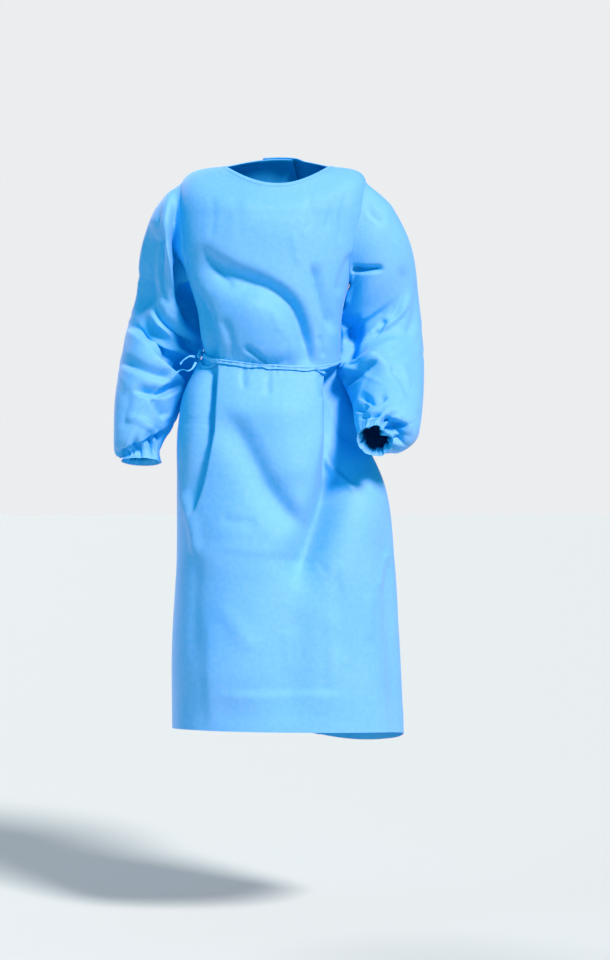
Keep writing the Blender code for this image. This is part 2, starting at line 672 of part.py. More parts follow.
def waist_tie():
    """A flat tie once round the waist, over both back panels, made from the panels' own points moved out."""
    front = np.linspace(-SIDE_SEAM, SIDE_SEAM, FRONT_STEPS + 1)
    back = np.linspace(SIDE_SEAM, BACK_EDGE, BACK_STEPS + 1)
    far = 360 - back[::-1]
    own = np.concatenate([front[:-1], back, far[far > BACK_EDGE + 1][:-1], front + 360])
    first, last = KNOT_ANGLE + KNOT_CLEAR, KNOT_ANGLE + 360 - KNOT_CLEAR
    angle = np.concatenate([[first], own[(own > first + 1) & (own < last - 1)], [last]])
    angle = np.broadcast_to(angle, (2, len(angle)))
    level = np.array([[SKIRT_LEVELS[-1]], [BODICE_LEVELS[0]]])
    stepped = BACK_LIFT * smoothstep((angle - BACK_EDGE - 2) / STEP_DOWN)
    lift = TIE_LIFT + TIE_THICKNESS - stepped
    outer, inner = body(angle, level, lift), body(angle, level, lift - TIE_THICKNESS)
    return wall("waist_tie", outer, inner, TIE_FINISH)


def knot():
    """The knot at the wearer's right side: a small round lump."""
    middle = body(KNOT_ANGLE, 1.005, 0.0085)
    bpy.ops.mesh.primitive_uv_sphere_add(segments=14, ring_count=8, radius=0.5, location=tuple(middle))
    made = bpy.context.active_object
    made.name = made.data.name = "waist_knot"
    made.scale = KNOT_SIZE
    bpy.ops.object.transform_apply(scale=True)
    made.data.materials.append(TIE_FINISH)
    made.data.shade_smooth()


def tail(name, route):
    """A free end of a tie: a narrow strip along a smooth line."""
    known = np.arange(len(route), dtype=float)
    at = np.linspace(0, len(route) - 1, 3 * len(route))
    line = np.stack([through_points(at, known, np.array(route)[:, k]) for k in range(3)], axis=-1)
    ahead = unit(np.gradient(line, axis=0))
    flat = unit(np.cross(ahead, (0.0, 1.0, 0.25)))
    out = unit(np.cross(ahead, flat))
    edge = flat * TAIL_HALF_WIDTH
    outer = np.stack([line - edge, line + edge]) + out * TIE_THICKNESS / 2
    inner = np.stack([line - edge, line + edge]) - out * TIE_THICKNESS / 2
    wall(name, outer, inner, TIE_FINISH)


front_panel()
back_panel("left")
back_panel("right")
neck_binding()
for side_name in ("left", "right"):
    cuff(side_name, sleeve(side_name))
waist_tie()
knot()
for end_name, end_route in TAILS.items():
    tail(f"tie_end_{end_name}", end_route)
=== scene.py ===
"""Isolation gown of thin nonwoven cloth, in the shape that it takes when it is worn on a walk.

Metres and degrees. +Z is up, the front faces -Y, and +X is the wearer's left. The origin is midway
between the neck ends of the shoulder seams.
"""

import math

import bpy
import numpy as np
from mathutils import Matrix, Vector


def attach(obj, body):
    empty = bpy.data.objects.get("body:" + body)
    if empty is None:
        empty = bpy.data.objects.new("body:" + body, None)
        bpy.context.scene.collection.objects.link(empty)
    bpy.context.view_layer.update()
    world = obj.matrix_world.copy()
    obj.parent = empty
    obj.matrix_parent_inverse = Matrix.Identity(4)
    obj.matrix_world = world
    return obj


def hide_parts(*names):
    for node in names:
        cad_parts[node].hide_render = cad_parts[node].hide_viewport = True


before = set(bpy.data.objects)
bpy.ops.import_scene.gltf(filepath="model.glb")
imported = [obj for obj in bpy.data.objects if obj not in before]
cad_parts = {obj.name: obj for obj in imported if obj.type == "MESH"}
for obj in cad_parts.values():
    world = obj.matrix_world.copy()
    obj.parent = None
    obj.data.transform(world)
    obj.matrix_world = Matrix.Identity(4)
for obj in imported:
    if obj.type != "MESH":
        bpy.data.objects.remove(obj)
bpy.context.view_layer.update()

# ------------------------------------------------------------------------------------------------
# The view: straight on from six metres, level with the waist, over a plain pale floor. A soft light
# comes from the upper front on the wearer's left, weaker ones from the right and from behind, and
# the surround is pale and cool, as in a small studio.
# ------------------------------------------------------------------------------------------------

EYE = (0.06, -6.0, -0.35)
VIEW_WIDTH = 1.22  # of the picture, where it passes through the gown's middle
VIEW_CENTRE_HEIGHT = -0.628
SENSOR = 36.0
FLOOR_HEIGHT, FLOOR_REACH = -1.51, 14.0
# The photograph's shades are rich blues: weak reds are shown weaker, as (red, red shown).
RED_CURVE = ((0.03, 0.003), (0.07, 0.022), (0.11, 0.095), (0.17, 0.20), (0.30, 0.34), (0.60, 0.60))


def placed(name, data):
    """A camera, light or mesh as an object of the scene."""
    made = bpy.data.objects.new(name, data)
    bpy.context.scene.collection.objects.link(made)
    return made


view = bpy.data.cameras.new("view")
view.sensor_fit = "HORIZONTAL"
view.sensor_width = SENSOR
view.lens = SENSOR * -EYE[1] / VIEW_WIDTH
view.shift_y = (VIEW_CENTRE_HEIGHT - EYE[2]) / VIEW_WIDTH
view_object = placed("view", view)
view_object.location = EYE
view_object.rotation_euler = (math.radians(90), 0, 0)
bpy.context.scene.camera = view_object
look = bpy.context.scene.view_settings
look.view_transform = "Standard"
look.use_curve_mapping = True
for seen, shown in RED_CURVE:
    look.curve_mapping.curves[0].points.new(seen, shown)
look.curve_mapping.update()

surround = bpy.data.worlds.new("pale_surround")
surround.use_nodes = True
surround_nodes = surround.node_tree.nodes
lighting = surround_nodes["Background"]
lighting.inputs["Color"].default_value = (0.24, 0.72, 1.0, 1)
lighting.inputs["Strength"].default_value = 0.34
backdrop = surround_nodes.new("ShaderNodeBackground")
backdrop.inputs["Color"].default_value = (0.84, 0.85, 0.86, 1)
either = surround_nodes.new("ShaderNodeMixShader")
seen_directly = surround_nodes.new("ShaderNodeLightPath")
join = surround.node_tree.links.new
join(seen_directly.outputs["Is Camera Ray"], either.inputs["Fac"])
join(lighting.outputs["Background"], either.inputs[1])
join(backdrop.outputs["Background"], either.inputs[2])
join(either.outputs["Shader"], surround_nodes["World Output"].inputs["Surface"])
bpy.context.scene.world = surround


def far_light(name, comes_from, strength, spread, colour=(1, 1, 1)):
    """A soft light that comes from one direction, like a wide panel a long way off."""
    lamp = bpy.data.lights.new(name, "SUN")
    lamp.color = colour
    lamp.energy = strength
    lamp.angle = math.radians(spread)
    placed(name, lamp).rotation_euler = (-Vector(comes_from)).to_track_quat("-Z", "Y").to_euler()


far_light("key_light", (0.71, -1.0, 1.12), 4.0, 12)
far_light("side_light", (-1.0, -0.55, 0.45), 0.60, 50, (0.30, 0.78, 1.0))
far_light("back_light", (-0.6, 1.0, 0.6), 1.9, 40)

floor_mesh = bpy.data.meshes.new("floor")
corners = ((-1, -1), (1, -1), (1, 1), (-1, 1))
corners = [(x * FLOOR_REACH, y * FLOOR_REACH, FLOOR_HEIGHT) for x, y in corners]
floor_mesh.from_pydata(corners, [], [(0, 1, 2, 3)])
floor = placed("floor", floor_mesh)
floor_paint = bpy.data.materials.new("pale_floor")
floor_paint.use_nodes = True
floor_shader = floor_paint.node_tree.nodes["Principled BSDF"]
floor_shader.inputs["Base Color"].default_value = (0.65, 0.585, 0.55, 1)
floor_shader.inputs["Roughness"].default_value = 0.9
floor_mesh.materials.append(floor_paint)

# ------------------------------------------------------------------------------------------------
# The body of the gown: one front and two back panels of spunbonded polypropylene, about 35 g to the
# square metre, sewn at the shoulders and sides. It is cut straight and wide, blouses over the waist
# tie, and was packed folded, so pressed lines still cross it.
# ------------------------------------------------------------------------------------------------

CLOTH = 0.0007  # how thick a sheet is
SEAM_GAP, SEAM_DIP = 0.0003, 0.0012  # between two sewn edges, and how far a seam draws them in
SIDE_SEAM = 90.0  # angles run round the body from the centre front; the wearer's left is positive
BACK_EDGE, BACK_LIFT = 196.0, 0.005  # where a back panel ends, and how far it clears the other one
LIFT_FROM, LIFT_FULL = 146.0, 162.0
ROUNDNESS = 2.3  # the power of the oval sections: 2 is an ellipse
WAIST_HEIGHT, CHEST_HEIGHT, HEM_HEIGHT = -0.390, -0.100, -1.130

SECTION_COLUMNS = ("height", "right_side", "left_side", "front", "back", "widest")
SECTIONS = (
    (HEM_HEIGHT, -0.206, 0.258, -0.180, 0.195, 0.010),
    (-0.960, -0.206, 0.250, -0.178, 0.185, 0.005),
    (-0.790, -0.197, 0.240, -0.172, 0.172, 0.000),
    (-0.630, -0.196, 0.218, -0.162, 0.158, 0.000),
    (-0.530, -0.194, 0.174, -0.150, 0.148, 0.000),
    (-0.460, -0.180, 0.151, -0.136, 0.132, -0.002),
    (-0.420, -0.160, 0.139, -0.124, 0.112, -0.005),
    (WAIST_HEIGHT, -0.143, 0.132, -0.112, 0.096, -0.008),
    (-0.350, -0.148, 0.132, -0.126, 0.106, -0.012),
    (-0.300, -0.154, 0.134, -0.136, 0.114, -0.012),
    (-0.236, -0.172, 0.148, -0.138, 0.120, -0.006),
    (-0.170, -0.188, 0.168, -0.134, 0.118, 0.000),
    (CHEST_HEIGHT, -0.196, 0.186, -0.122, 0.108, 0.000),
)
ROUND_COLUMNS = ("angle", "hem", "waist")
ROUND_THE_GOWN = (
    (-180, -1.150, -0.384),
    (-135, -1.136, -0.378),
    (-90, -1.124, -0.376),
    (-45, -1.112, -0.390),
    (0, -1.110, -0.401),
    (45, -1.116, -0.402),
    (90, -1.136, -0.390),
    (120, -1.158, -0.386),
    (150, -1.168, -0.385),
    (180, -1.150, -0.384),
)
NECK_CENTRE, NECK_HALF_WIDTH = 0.005, 0.112
NECK_WIDEST, NECK_FRONT, NECK_BACK = -0.006, -0.088, 0.070
PLACE_COLUMNS = ("place", "neck_height", "rise", "run_out", "slope")
PLACES = (
    ("side", -0.002, 0.083, 0.072, 4.0),
    ("front", -0.046, 0.022, 0.020, 62.0),
    ("back", 0.012, 0.045, 0.035, 38.0),
)
# Levels run up the gown: 0 the hem, 1 the tie, 2 the chest line, 3 the neck edge.
ARMPIT_LEVEL, TIP_LEVEL = 1.53, 2.42
BELOW_CHEST, ABOVE_CHEST = 0.136, 0.075  # the armhole's lengths, in metres
ARMHOLE_FRONT, ARMHOLE_BACK = {"left": 28.0, "right": 24.0}, 28.0

# Folds round the sides and back: from one angle and height to another, the half widths on the left
# and right hand of that line, and the depth.
ROUND_FOLDS = (
    (104, -0.400, 100, -0.900, 0.026, 0.026, 0.020),
    (132, -0.400, 128, -1.170, 0.028, 0.028, 0.022),
    (158, -0.420, 160, -1.170, 0.024, 0.024, 0.012),
    (-104, -0.400, -100, -0.950, 0.026, 0.026, 0.018),
    (-130, -0.400, -134, -1.160, 0.028, 0.028, 0.020),
    (150, -0.180, 138, -0.380, 0.020, 0.020, 0.012),
    (-150, -0.190, -140, -0.380, 0.020, 0.020, 0.012),
    (62, -0.720, 66, -1.150, 0.030, 0.030, 0.012),
    (176, -0.300, 166, -0.385, 0.008, 0.014, 0.007),
    (122, -0.250, 128, -0.384, 0.010, 0.016, 0.009),
    (-118, -0.240, -126, -0.384, 0.010, 0.016, 0.009),
    (-168, -0.330, -160, -0.385, 0.008, 0.012, 0.006),
    (146, -0.060, 128, -0.200, 0.016, 0.026, 0.006),
    (-146, -0.060, -130, -0.200, 0.016, 0.026, 0.006),
    (116, -0.560, 124, -0.760, 0.010, 0.020, 0.006),
    (-148, -0.520, -158, -0.760, 0.010, 0.020, 0.007),
    (-112, -0.700, -118, -1.140, 0.014, 0.022, 0.010),
    (146, -0.720, 142, -1.160, 0.014, 0.022, 0.009),
)
METRES_PER_DEGREE = 0.003  # round the body
HANDLED = (90, ((-600, 600), (-1120, -60)), (60, 200), (8, 22), 0.9, 90, 40)  # small creases

# Folds of the front, as seen from the front, in millimetres: half widths on the left and right hand
# of the path, at its start and then its end; depth at its start and its end, minus for a ridge; how
# crisp (0 a soft bell, 1 a sharp crease); and the path itself. A value that repeats is given once.
BODICE_FOLDS = (
    # from the right armhole, under the chest and down to the tie
    ((25, 34, 9, 18), (24, 27), 0.2,
     ((-168, -150), (-132, -196), (-88, -218), (-40, -234), (4, -254), (36, -282), (56, -322),
      (66, -362), (70, -430))),
    ((9, 10, 8, 8), 5, 0.5, ((-148, -156), (-122, -212), (-84, -250))),
    ((15, 6, 12, 5), 13, 0.4, ((72, -190), (80, -226), (94, -276), (116, -340))),
    ((6, 5), 4, 0.6, ((88, -336), (94, -358), (96, -386))),
    ((12, 9, 12, 8), (12, 16), 0.4,
     ((-188, -222), (-168, -252), (-144, -290), (-132, -332), (-122, -430))),
    ((60, 70, 50, 60), -9, 0.0, ((-70, -250), (-34, -300), (-10, -350), (-4, -410))),
    ((40, 50, 40, 40), -7, 0.0, ((-100, -90), (-10, -120), (90, -120))),
    ((10, 8, 8, 8), -2.0, 0.3, ((30, -130), (40, -160), (48, -204))),
    (8, -2.0, 0.5, ((-8, -272), (2, -304), (10, -336))),
    ((8, 7), 2.2, 0.3, ((66, -44), (70, -90), (62, -140))),
    ((8, 7), 3.0, 0.3, ((118, -44), (112, -90), (98, -136))),
    ((10, 8), 3.4, 0.3, ((144, -40), (136, -90), (130, -160))),
    (8, 1.6, 0.3, ((-128, -46), (-124, -96), (-128, -150))),
    ((12, 10), 1.6, 0.2, ((-86, -44), (-70, -96), (-74, -150))),
    ((12, 10, 10, 10), 6, 0.3, ((160, -170), (140, -210), (126, -262))),
    ((8, 4, 5, 4), 8, 0.5, ((-64, -360), (-38, -376), (-10, -398))),
    ((12, 8, 8, 7), 4, 0.3, ((-108, -300), (-90, -340), (-84, -392))),
    ((9, 8, 6, 6), (2, 3), 0.4, ((22, -336), (26, -366), (18, -402))),
)
SKIRT_FOLDS = (
    # the skirt lies over itself beside the right hip
    ((3, 24), (24, 20), 0.3,
     ((-117, -350), (-120, -408), (-124, -468), (-130, -534), (-144, -614), (-172, -716))),
    ((12, 10), -6, 0.3, ((-196, -640), (-176, -690), (-162, -726), (-154, -790))),
    # hollow under the left sleeve
    ((82, 4, 50, 44), (52, 40), 0.15,
     ((114, -300), (118, -400), (124, -490), (126, -556), (116, -636), (96, -706), (66, -786),
      (24, -880))),
    ((44, 36, 42, 30), (10, 16), 0.2,
     ((128, -530), (116, -620), (94, -690), (60, -770), (26, -850))),
    # ridge beside the hollow
    ((50, 32, 50, 30), (-24, -15), 0.2,
     ((180, -510), (168, -620), (144, -700), (108, -776), (60, -850))),
    ((5, 5, 4, 4), -7, 0.7, ((120, -556), (134, -590), (150, -622), (166, -660))),
    # drag lines across the skirt
    ((26, 40, 22, 30), (16, 20), 0.15,
     ((-116, -470), (-96, -502), (-58, -566), (-14, -648), (34, -706), (80, -748))),
    ((50, 50, 40, 40), -9, 0.0, ((10, -440), (20, -540), (44, -650))),
    ((80, 70), -12, 0.0, ((-66, -640), (-80, -800), (-92, -1110))),
    ((40, 46), 10, 0.0, ((40, -800), (34, -950), (28, -1130))),
    ((18, 20, 16, 18), (-3, -4), 0.3, ((-116, -872), (-80, -912), (-34, -978))),
    ((8, 9), -5, 0.4, ((232, -764), (222, -806), (214, -850))),
    (9, -3.5, 0.3, ((190, -850), (190, -900), (190, -956))),
    (14, 4, 0.2, ((120, -800), (130, -880), (128, -1000))),
    (12, 3, 0.2, ((-150, -760), (-158, -880), (-160, -1000))),
    ((10, 14), 3, 0.4, ((-110, -704), (-70, -712), (-30, -712))),
    ((10, 22), 3, 0.4, ((-136, -774), (-60, -780), (40, -792), (90, -800))),
    ((8, 8, 10, 10), 5, 0.4, ((88, -412), (96, -436), (98, -470))),
    ((10, 6, 8, 5), 4, 0.5, ((-62, -400), (-66, -424), (-60, -450))),
    ((6, 8), 3.5, 0.5, ((-8, -410), (-14, -432), (-12, -462))),
)
# Lines pressed into it while it was packed.
PRESSED_LINES = (
    ((20, 34), -4.0, 0.9, ((-118, -493), (-20, -495), (90, -492))),
    ((20, 34), -3.6, 0.9, ((-176, -778), (-90, -777), (10, -780))),
    ((10, 26), -4.0, 0.9, ((-130, -1060), (0, -1062), (160, -1060))),
    ((22, 12), -3.4, 0.9, ((-127, -880), (-128, -1000), (-127, -1140))),
    ((20, 12), -2.2, 0.9, ((26, -920), (27, -980), (26, -1020))),
    ((22, 12), -3.4, 0.9, ((114, -880), (115, -960), (114, -1060))),
    (3, 1.4, 0.9, ((-200, -504), (-162, -505), (-128, -504))),
    (3, 1.2, 0.9, ((-200, -513), (-162, -514), (-128, -513))),
    (4, 1.8, 0.9, ((86, -784), (98, -802), (110, -822))),
    (4, 1.6, 0.9, ((90, -818), (98, -802), (112, -790))),
)
FOLD_END, TROUGH_END, TROUGH_PAST = 0.22, 0.36, 0.12  # shares of the way over which a fold fades
FRONT_FROM, FRONT_RAMP = 0.02, 0.35  # how far cloth looks to the front where those folds begin
TIE_RAMP, TIE_PINCH = 0.004, 0.009  # metres from the tie in which folds begin, and lie flatter
NECK_END, NECK_FADE = 2.9, 0.9  # folds end at this level, faded over this many levels
GATHERS, GATHER_DEPTH = 53, 0.0016
GATHER_PEAK, GATHER_FADE = 0.007, 0.018


def column(table, names, name):
    """One named column of a table."""
    return np.array([row[names.index(name)] for row in table], float)


def through_points(at, known, values):
    """The smooth curve through (known, values): a cubic in each span, with its neighbours' slopes."""
    slope = np.gradient(values, known)
    span = np.clip(np.searchsorted(known, at, side="right") - 1, 0, len(known) - 2)
    width = known[span + 1] - known[span]
    t = np.clip((at - known[span]) / width, 0, 1)
    low, high = values[span], values[span + 1]
    rising = low * (1 + 2 * t) * (1 - t) ** 2 + slope[span] * width * t * (1 - t) ** 2
    return rising + high * t * t * (3 - 2 * t) + slope[span + 1] * width * t * t * (t - 1)


def smoothstep(value):
    """0 below 0, 1 above 1, and a soft ramp between them."""
    t = np.clip(value, 0, 1)
    return t * t * (3 - 2 * t)


def sine(angle):
    return np.sin(np.radians(angle))


def cosine(angle):
    return np.cos(np.radians(angle))


def half_turn(angle):
    """The same angle between -180 and 180."""
    return (angle + 180) % 360 - 180


def unit(vectors):
    return vectors / np.linalg.norm(vectors, axis=-1, keepdims=True)


def level_heights(angle, level):
    """(height, height of the section that gives the sizes, height over the tie) at a level."""
    around = column(ROUND_THE_GOWN, ROUND_COLUMNS, "angle")
    hem = through_points(angle, around, column(ROUND_THE_GOWN, ROUND_COLUMNS, "hem"))
    waist = through_points(angle, around, column(ROUND_THE_GOWN, ROUND_COLUMNS, "waist"))
    skirt, bodice = np.clip(level, 0, 1), np.clip(level - 1, 0, 1)
    true = hem + (waist - hem) * skirt + (CHEST_HEIGHT - waist) * bodice
    nominal = HEM_HEIGHT + (WAIST_HEIGHT - HEM_HEIGHT) * skirt + (CHEST_HEIGHT - WAIST_HEIGHT) * bodice
    return true, nominal, true - waist


def section(angle, nominal):
    """x and y of the plain section at a height: a rounded oval with its own four half widths."""
    heights = column(SECTIONS, SECTION_COLUMNS, "height")
    right, left, front, back, widest = (
        through_points(nominal, heights, column(SECTIONS, SECTION_COLUMNS, name))
        for name in SECTION_COLUMNS[1:]
    )
    s, c = sine(angle), cosine(angle)
    swell = (np.abs(s) ** ROUNDNESS + np.abs(c) ** ROUNDNESS) ** (-1 / ROUNDNESS)
    deep = np.where(c > 0, widest - front, back - widest)
    return (right + left) / 2 + (left - right) / 2 * swell * s, widest - deep * swell * c


def place_value(angle, name):
    """A value of PLACES, eased between the side, front and back by the square of the cosine."""
    side, front, back = column(PLACES, PLACE_COLUMNS, name)
    ahead = cosine(angle)
    return side + (np.where(ahead > 0, front, back) - side) * ahead**2


def plain_body(angle, level):
    """The body without folds: sections up to the chest line, then a cubic arch to the neck edge."""
    true, nominal, _ = level_heights(angle, level)
    x, y = section(angle, nominal)
    t = np.clip(level - 2, 0, 1)
    ahead, side = cosine(angle), sine(angle)
    neck_x = NECK_CENTRE + NECK_HALF_WIDTH * side
    neck_deep = np.where(ahead > 0, NECK_WIDEST - NECK_FRONT, NECK_BACK - NECK_WIDEST)
    neck_y = NECK_WIDEST - neck_deep * ahead
    neck_z = place_value(angle, "neck_height")
    out_x, out_y = x - neck_x, y - neck_y
    run = np.hypot(out_x, out_y)
    reach, slope = place_value(angle, "run_out"), place_value(angle, "slope")
    rise = place_value(angle, "rise")
    start, lift, lean, end = (1 - t) ** 3, 3 * t * (1 - t) ** 2, 3 * t * t * (1 - t), t**3
    lean_x = neck_x + out_x / run * reach * cosine(slope)
    lean_y = neck_y + out_y / run * reach * cosine(slope)
    lean_z = neck_z - reach * sine(slope)
    px = (start + lift) * x + lean * lean_x + end * neck_x
    py = (start + lift) * y + lean * lean_y + end * neck_y
    pz = start * true + lift * (true + rise) + lean * lean_z + end * neck_z
    return np.stack(np.broadcast_arrays(px, py, pz), axis=-1)


def body_normals(angle, level):
    """Unit normals of the plain body, pointing out of the gown."""
    above, below = np.clip(level + 0.01, 0, 3), np.clip(level - 0.01, 0, 3)
    round_it = plain_body(half_turn(angle + 0.4), level) - plain_body(half_turn(angle - 0.4), level)
    return unit(np.cross(round_it, plain_body(angle, above) - plain_body(angle, below)))


def line_lengths(line):
    """The length of each step of a line, and the length up to each of its points."""
    steps = np.linalg.norm(np.diff(line, axis=0), axis=1)
    return steps, np.concatenate([[0], np.cumsum(steps)])


def seen_from_front(points):
    """x and z in millimetres where the line from the eye to each point crosses the gown's middle."""
    nearer = -EYE[1] / (points[..., 1] - EYE[1])
    x = EYE[0] + (points[..., 0] - EYE[0]) * nearer
    z = EYE[2] + (points[..., 2] - EYE[2]) * nearer
    return x * 1000, z * 1000


def beside_path(x, z, path):
    """(distance, share of the way) from a smooth path; the distance is plus on its left hand."""
    path = np.array(path, float)
    number = np.arange(len(path), dtype=float)
    fine = np.linspace(0, len(path) - 1, 6 * (len(path) - 1) + 1)
    line = np.stack([through_points(fine, number, path[:, k]) for k in (0, 1)], axis=-1)
    lengths, passed = line_lengths(line)
    nearest = np.full(np.shape(x), 1e9)
    aside, share = np.zeros(np.shape(x)), np.zeros(np.shape(x))
    for (ax, az), (bx, bz), length, before in zip(line, line[1:], lengths, passed):
        dx, dz = (bx - ax) / length, (bz - az) / length
        run = np.clip((x - ax) * dx + (z - az) * dz, 0, length)
        off_x, off_z = x - ax - run * dx, z - az - run * dz
        distance = np.hypot(off_x, off_z)
        closer = distance < nearest
        nearest = np.where(closer, distance, nearest)
        aside = np.where(closer, np.copysign(distance, off_z * dx - off_x * dz), aside)
        share = np.where(closer, (before + run) / passed[-1], share)
    return aside, share


def tent(t):
    """A ridge with flat flanks: 1 - 0.7 t down to nothing, both bends eased by a square root."""
    straight = 1.05 - 0.7 * np.sqrt(t * t + 0.008)
    return (straight + np.sqrt(straight**2 + 0.006)) / 2


def drawn_folds(x, z, folds):
    """How far some folds push the cloth in, in metres: a bell or a crease across, faded at the ends."""
    pushed = np.zeros(np.shape(x))
    for widths, depth, crisp, path in folds:
        aside, share = beside_path(x, z, path)
        left, right, to_left, to_right = np.resize(widths, 4)
        half = np.where(aside > 0, left + (to_left - left) * share, right + (to_right - right) * share)
        t = np.abs(aside) / half
        ends = smoothstep(share / FOLD_END) * smoothstep((1 - share) / FOLD_END)
        deep = np.interp(share, (0, 1), np.resize(depth, 2)) / 1000
        pushed += deep * ((1 - crisp) * np.exp(-(t**2)) + crisp * tent(t)) * ends
    return pushed


def round_folds(angle, place, folds, per_degree, per_place):
    """How far the folds of the hidden sides push the cloth in: a bell across, faded at the ends."""
    pushed = np.zeros(np.shape(angle))
    for at_angle, at_place, to_angle, to_place, left, right, depth in folds:
        run, rise = half_turn(angle - at_angle) * per_degree, (place - at_place) * per_place
        to_run, to_rise = (to_angle - at_angle) * per_degree, (to_place - at_place) * per_place
        length = math.hypot(to_run, to_rise)
        share = (run * to_run + rise * to_rise) / length**2
        aside = (rise * to_run - run * to_rise) / length
        ends = smoothstep((share + TROUGH_PAST) / TROUGH_END)
        ends *= smoothstep((1 + TROUGH_PAST - share) / TROUGH_END)
        pushed += depth * np.exp(-((aside / np.where(aside > 0, left, right)) ** 2)) * ends
    return pushed


def gathers(angle, from_tie):
    """Small uneven pleats that the tie draws in: none under it, fullest near it, then fading."""
    far = np.abs(from_tie) / GATHER_PEAK
    swell = far * np.exp(1 - far) * np.exp(-np.abs(from_tie) / GATHER_FADE)
    drift = angle + 5 * sine(3 * angle + 70) + 3 * sine(7 * angle) + 90 * from_tie * sine(9 * angle)
    uneven = 0.8 + 0.6 * sine(5 * angle + 40) * sine(9 * angle) + 0.5 * sine(17 * angle + 20)
    pleats = (0.5 - 0.5 * cosine(GATHERS * drift)) ** 1.5
    return GATHER_DEPTH * swell * uneven * pleats * np.where(from_tie > 0, 0.7, 1.0)


def small_creases(x, z, seed, scatter):
    """Short shallow creases of handled cloth, in millimetres: straight, each a tent across. The
    scatter says how many, where, their lengths and half widths, depth, lean and its spread."""
    count, spans, length, half, depth, lean, spread = scatter
    dice = np.random.default_rng(seed)
    pushed = np.zeros(np.shape(x))
    for _ in range(count):
        at_x, at_z = dice.uniform(*spans[0]), dice.uniform(*spans[1])
        turn = math.radians(lean + dice.normal(0, spread))
        reach, wide = dice.uniform(*length) / 2, dice.uniform(*half)
        deep = dice.uniform(0.3, 1.0) * dice.choice((-1, 1)) * depth
        run = (x - at_x) * math.cos(turn) + (z - at_z) * math.sin(turn)
        aside = np.abs((z - at_z) * math.cos(turn) - (x - at_x) * math.sin(turn)) / wide
        pushed += deep / 1000 * tent(aside) * np.exp(-((run / reach) ** 2))
    return pushed


def body(angle, level, lift=0.0):
    """The gown's outer face: the plain body, pushed along its normals by all its folds."""
    angle, level = np.broadcast_arrays(np.asarray(angle, float), np.asarray(level, float))
    wrapped = half_turn(angle)
    points = plain_body(wrapped, level)
    outward = body_normals(wrapped, level)
    from_tie = level_heights(wrapped, level)[2]
    x, z = seen_from_front(points)
    facing = smoothstep((-outward[..., 1] - FRONT_FROM) / FRONT_RAMP)
    front = drawn_folds(x, z, BODICE_FOLDS) * smoothstep(from_tie / TIE_RAMP)
    front = (front + drawn_folds(x, z, SKIRT_FOLDS) * smoothstep(-from_tie / TIE_RAMP)) * facing
    pinched = 1 - 0.8 * np.exp(-((from_tie / TIE_PINCH) ** 2))
    height = points[..., 2]
    pushed = (front + round_folds(wrapped, height, ROUND_FOLDS, METRES_PER_DEGREE, 1)) * pinched
    pushed += drawn_folds(x, z, PRESSED_LINES) * facing + gathers(wrapped, from_tie)
    around = wrapped * METRES_PER_DEGREE * 1000
    pushed += small_creases(around, height * 1000, 7, HANDLED) * pinched
    fade = smoothstep((NECK_END - level) / NECK_FADE)
    over = BACK_LIFT * smoothstep((angle - LIFT_FROM) / (LIFT_FULL - LIFT_FROM))
    return points + outward * (over + lift - pushed * fade)[..., None]


def armhole_level(height_share):
    """Level on the body at a share of the armhole's height, -1 at the armpit, 1 at the shoulder tip."""
    length = (height_share + 1) / 2 * (BELOW_CHEST + ABOVE_CHEST)
    below = ARMPIT_LEVEL + (2 - ARMPIT_LEVEL) * length / BELOW_CHEST
    above = 2 + (TIP_LEVEL - 2) * (length - BELOW_CHEST) / ABOVE_CHEST
    return np.where(length < BELOW_CHEST, below, above)


class Socket:
    """One output of a material's node. Sums and products of it add Math nodes."""

    def __init__(self, finish, link):
        self.finish, self.link = finish, link

    def __add__(self, other):
        return self.finish.maths("ADD", self, other)

    def __sub__(self, other):
        return self.finish.maths("SUBTRACT", self, other)

    def __rsub__(self, other):
        return self.finish.maths("SUBTRACT", other, self)

    def __mul__(self, other):
        return self.finish.maths("MULTIPLY", self, other)


class Finish:
    """A material whose nodes are added by what they make."""

    def __init__(self, name, **fixed):
        self.material = bpy.data.materials.new(name)
        self.material.use_nodes = True
        self.tree = self.material.node_tree
        self.shader = self.tree.nodes["Principled BSDF"]
        for socket, value in fixed.items():
            self.shader.inputs[socket.replace("_", " ")].default_value = value

    def node(self, kind, settings=None, output=0, **inputs):
        """A node of a type: its settings first, then its sockets' values or links."""
        made = self.tree.nodes.new(kind)
        for setting, value in (settings or {}).items():
            setattr(made, setting, value)
        for name, value in inputs.items():
            at = int(name[1:]) if name[1:].isdigit() else name.replace("_", " ")
            self.feed(made.inputs[at], value)
        return Socket(self, made.outputs[output])

    def feed(self, socket, value):
        if isinstance(value, Socket):
            self.tree.links.new(value.link, socket)
        else:
            socket.default_value = value

    def maths(self, operation, one, two=0.0):
        return self.node("ShaderNodeMath", {"operation": operation}, i0=one, i1=two)

    def ramp(self, value, low, high):
        """0 at low, 1 at high, soft between them."""
        return self.node(
            "ShaderNodeMapRange",
            {"interpolation_type": "SMOOTHSTEP"},
            Value=value,
            From_Min=low,
            From_Max=high,
        )

    def mix(self, share, one, two):
        return self.node("ShaderNodeMix", {"data_type": "RGBA"}, output=2, i0=share, i6=one, i7=two)


BOND_PITCH = 0.0024  # between the points where the fibres are welded, in staggered rows
TURN = 2 * math.pi


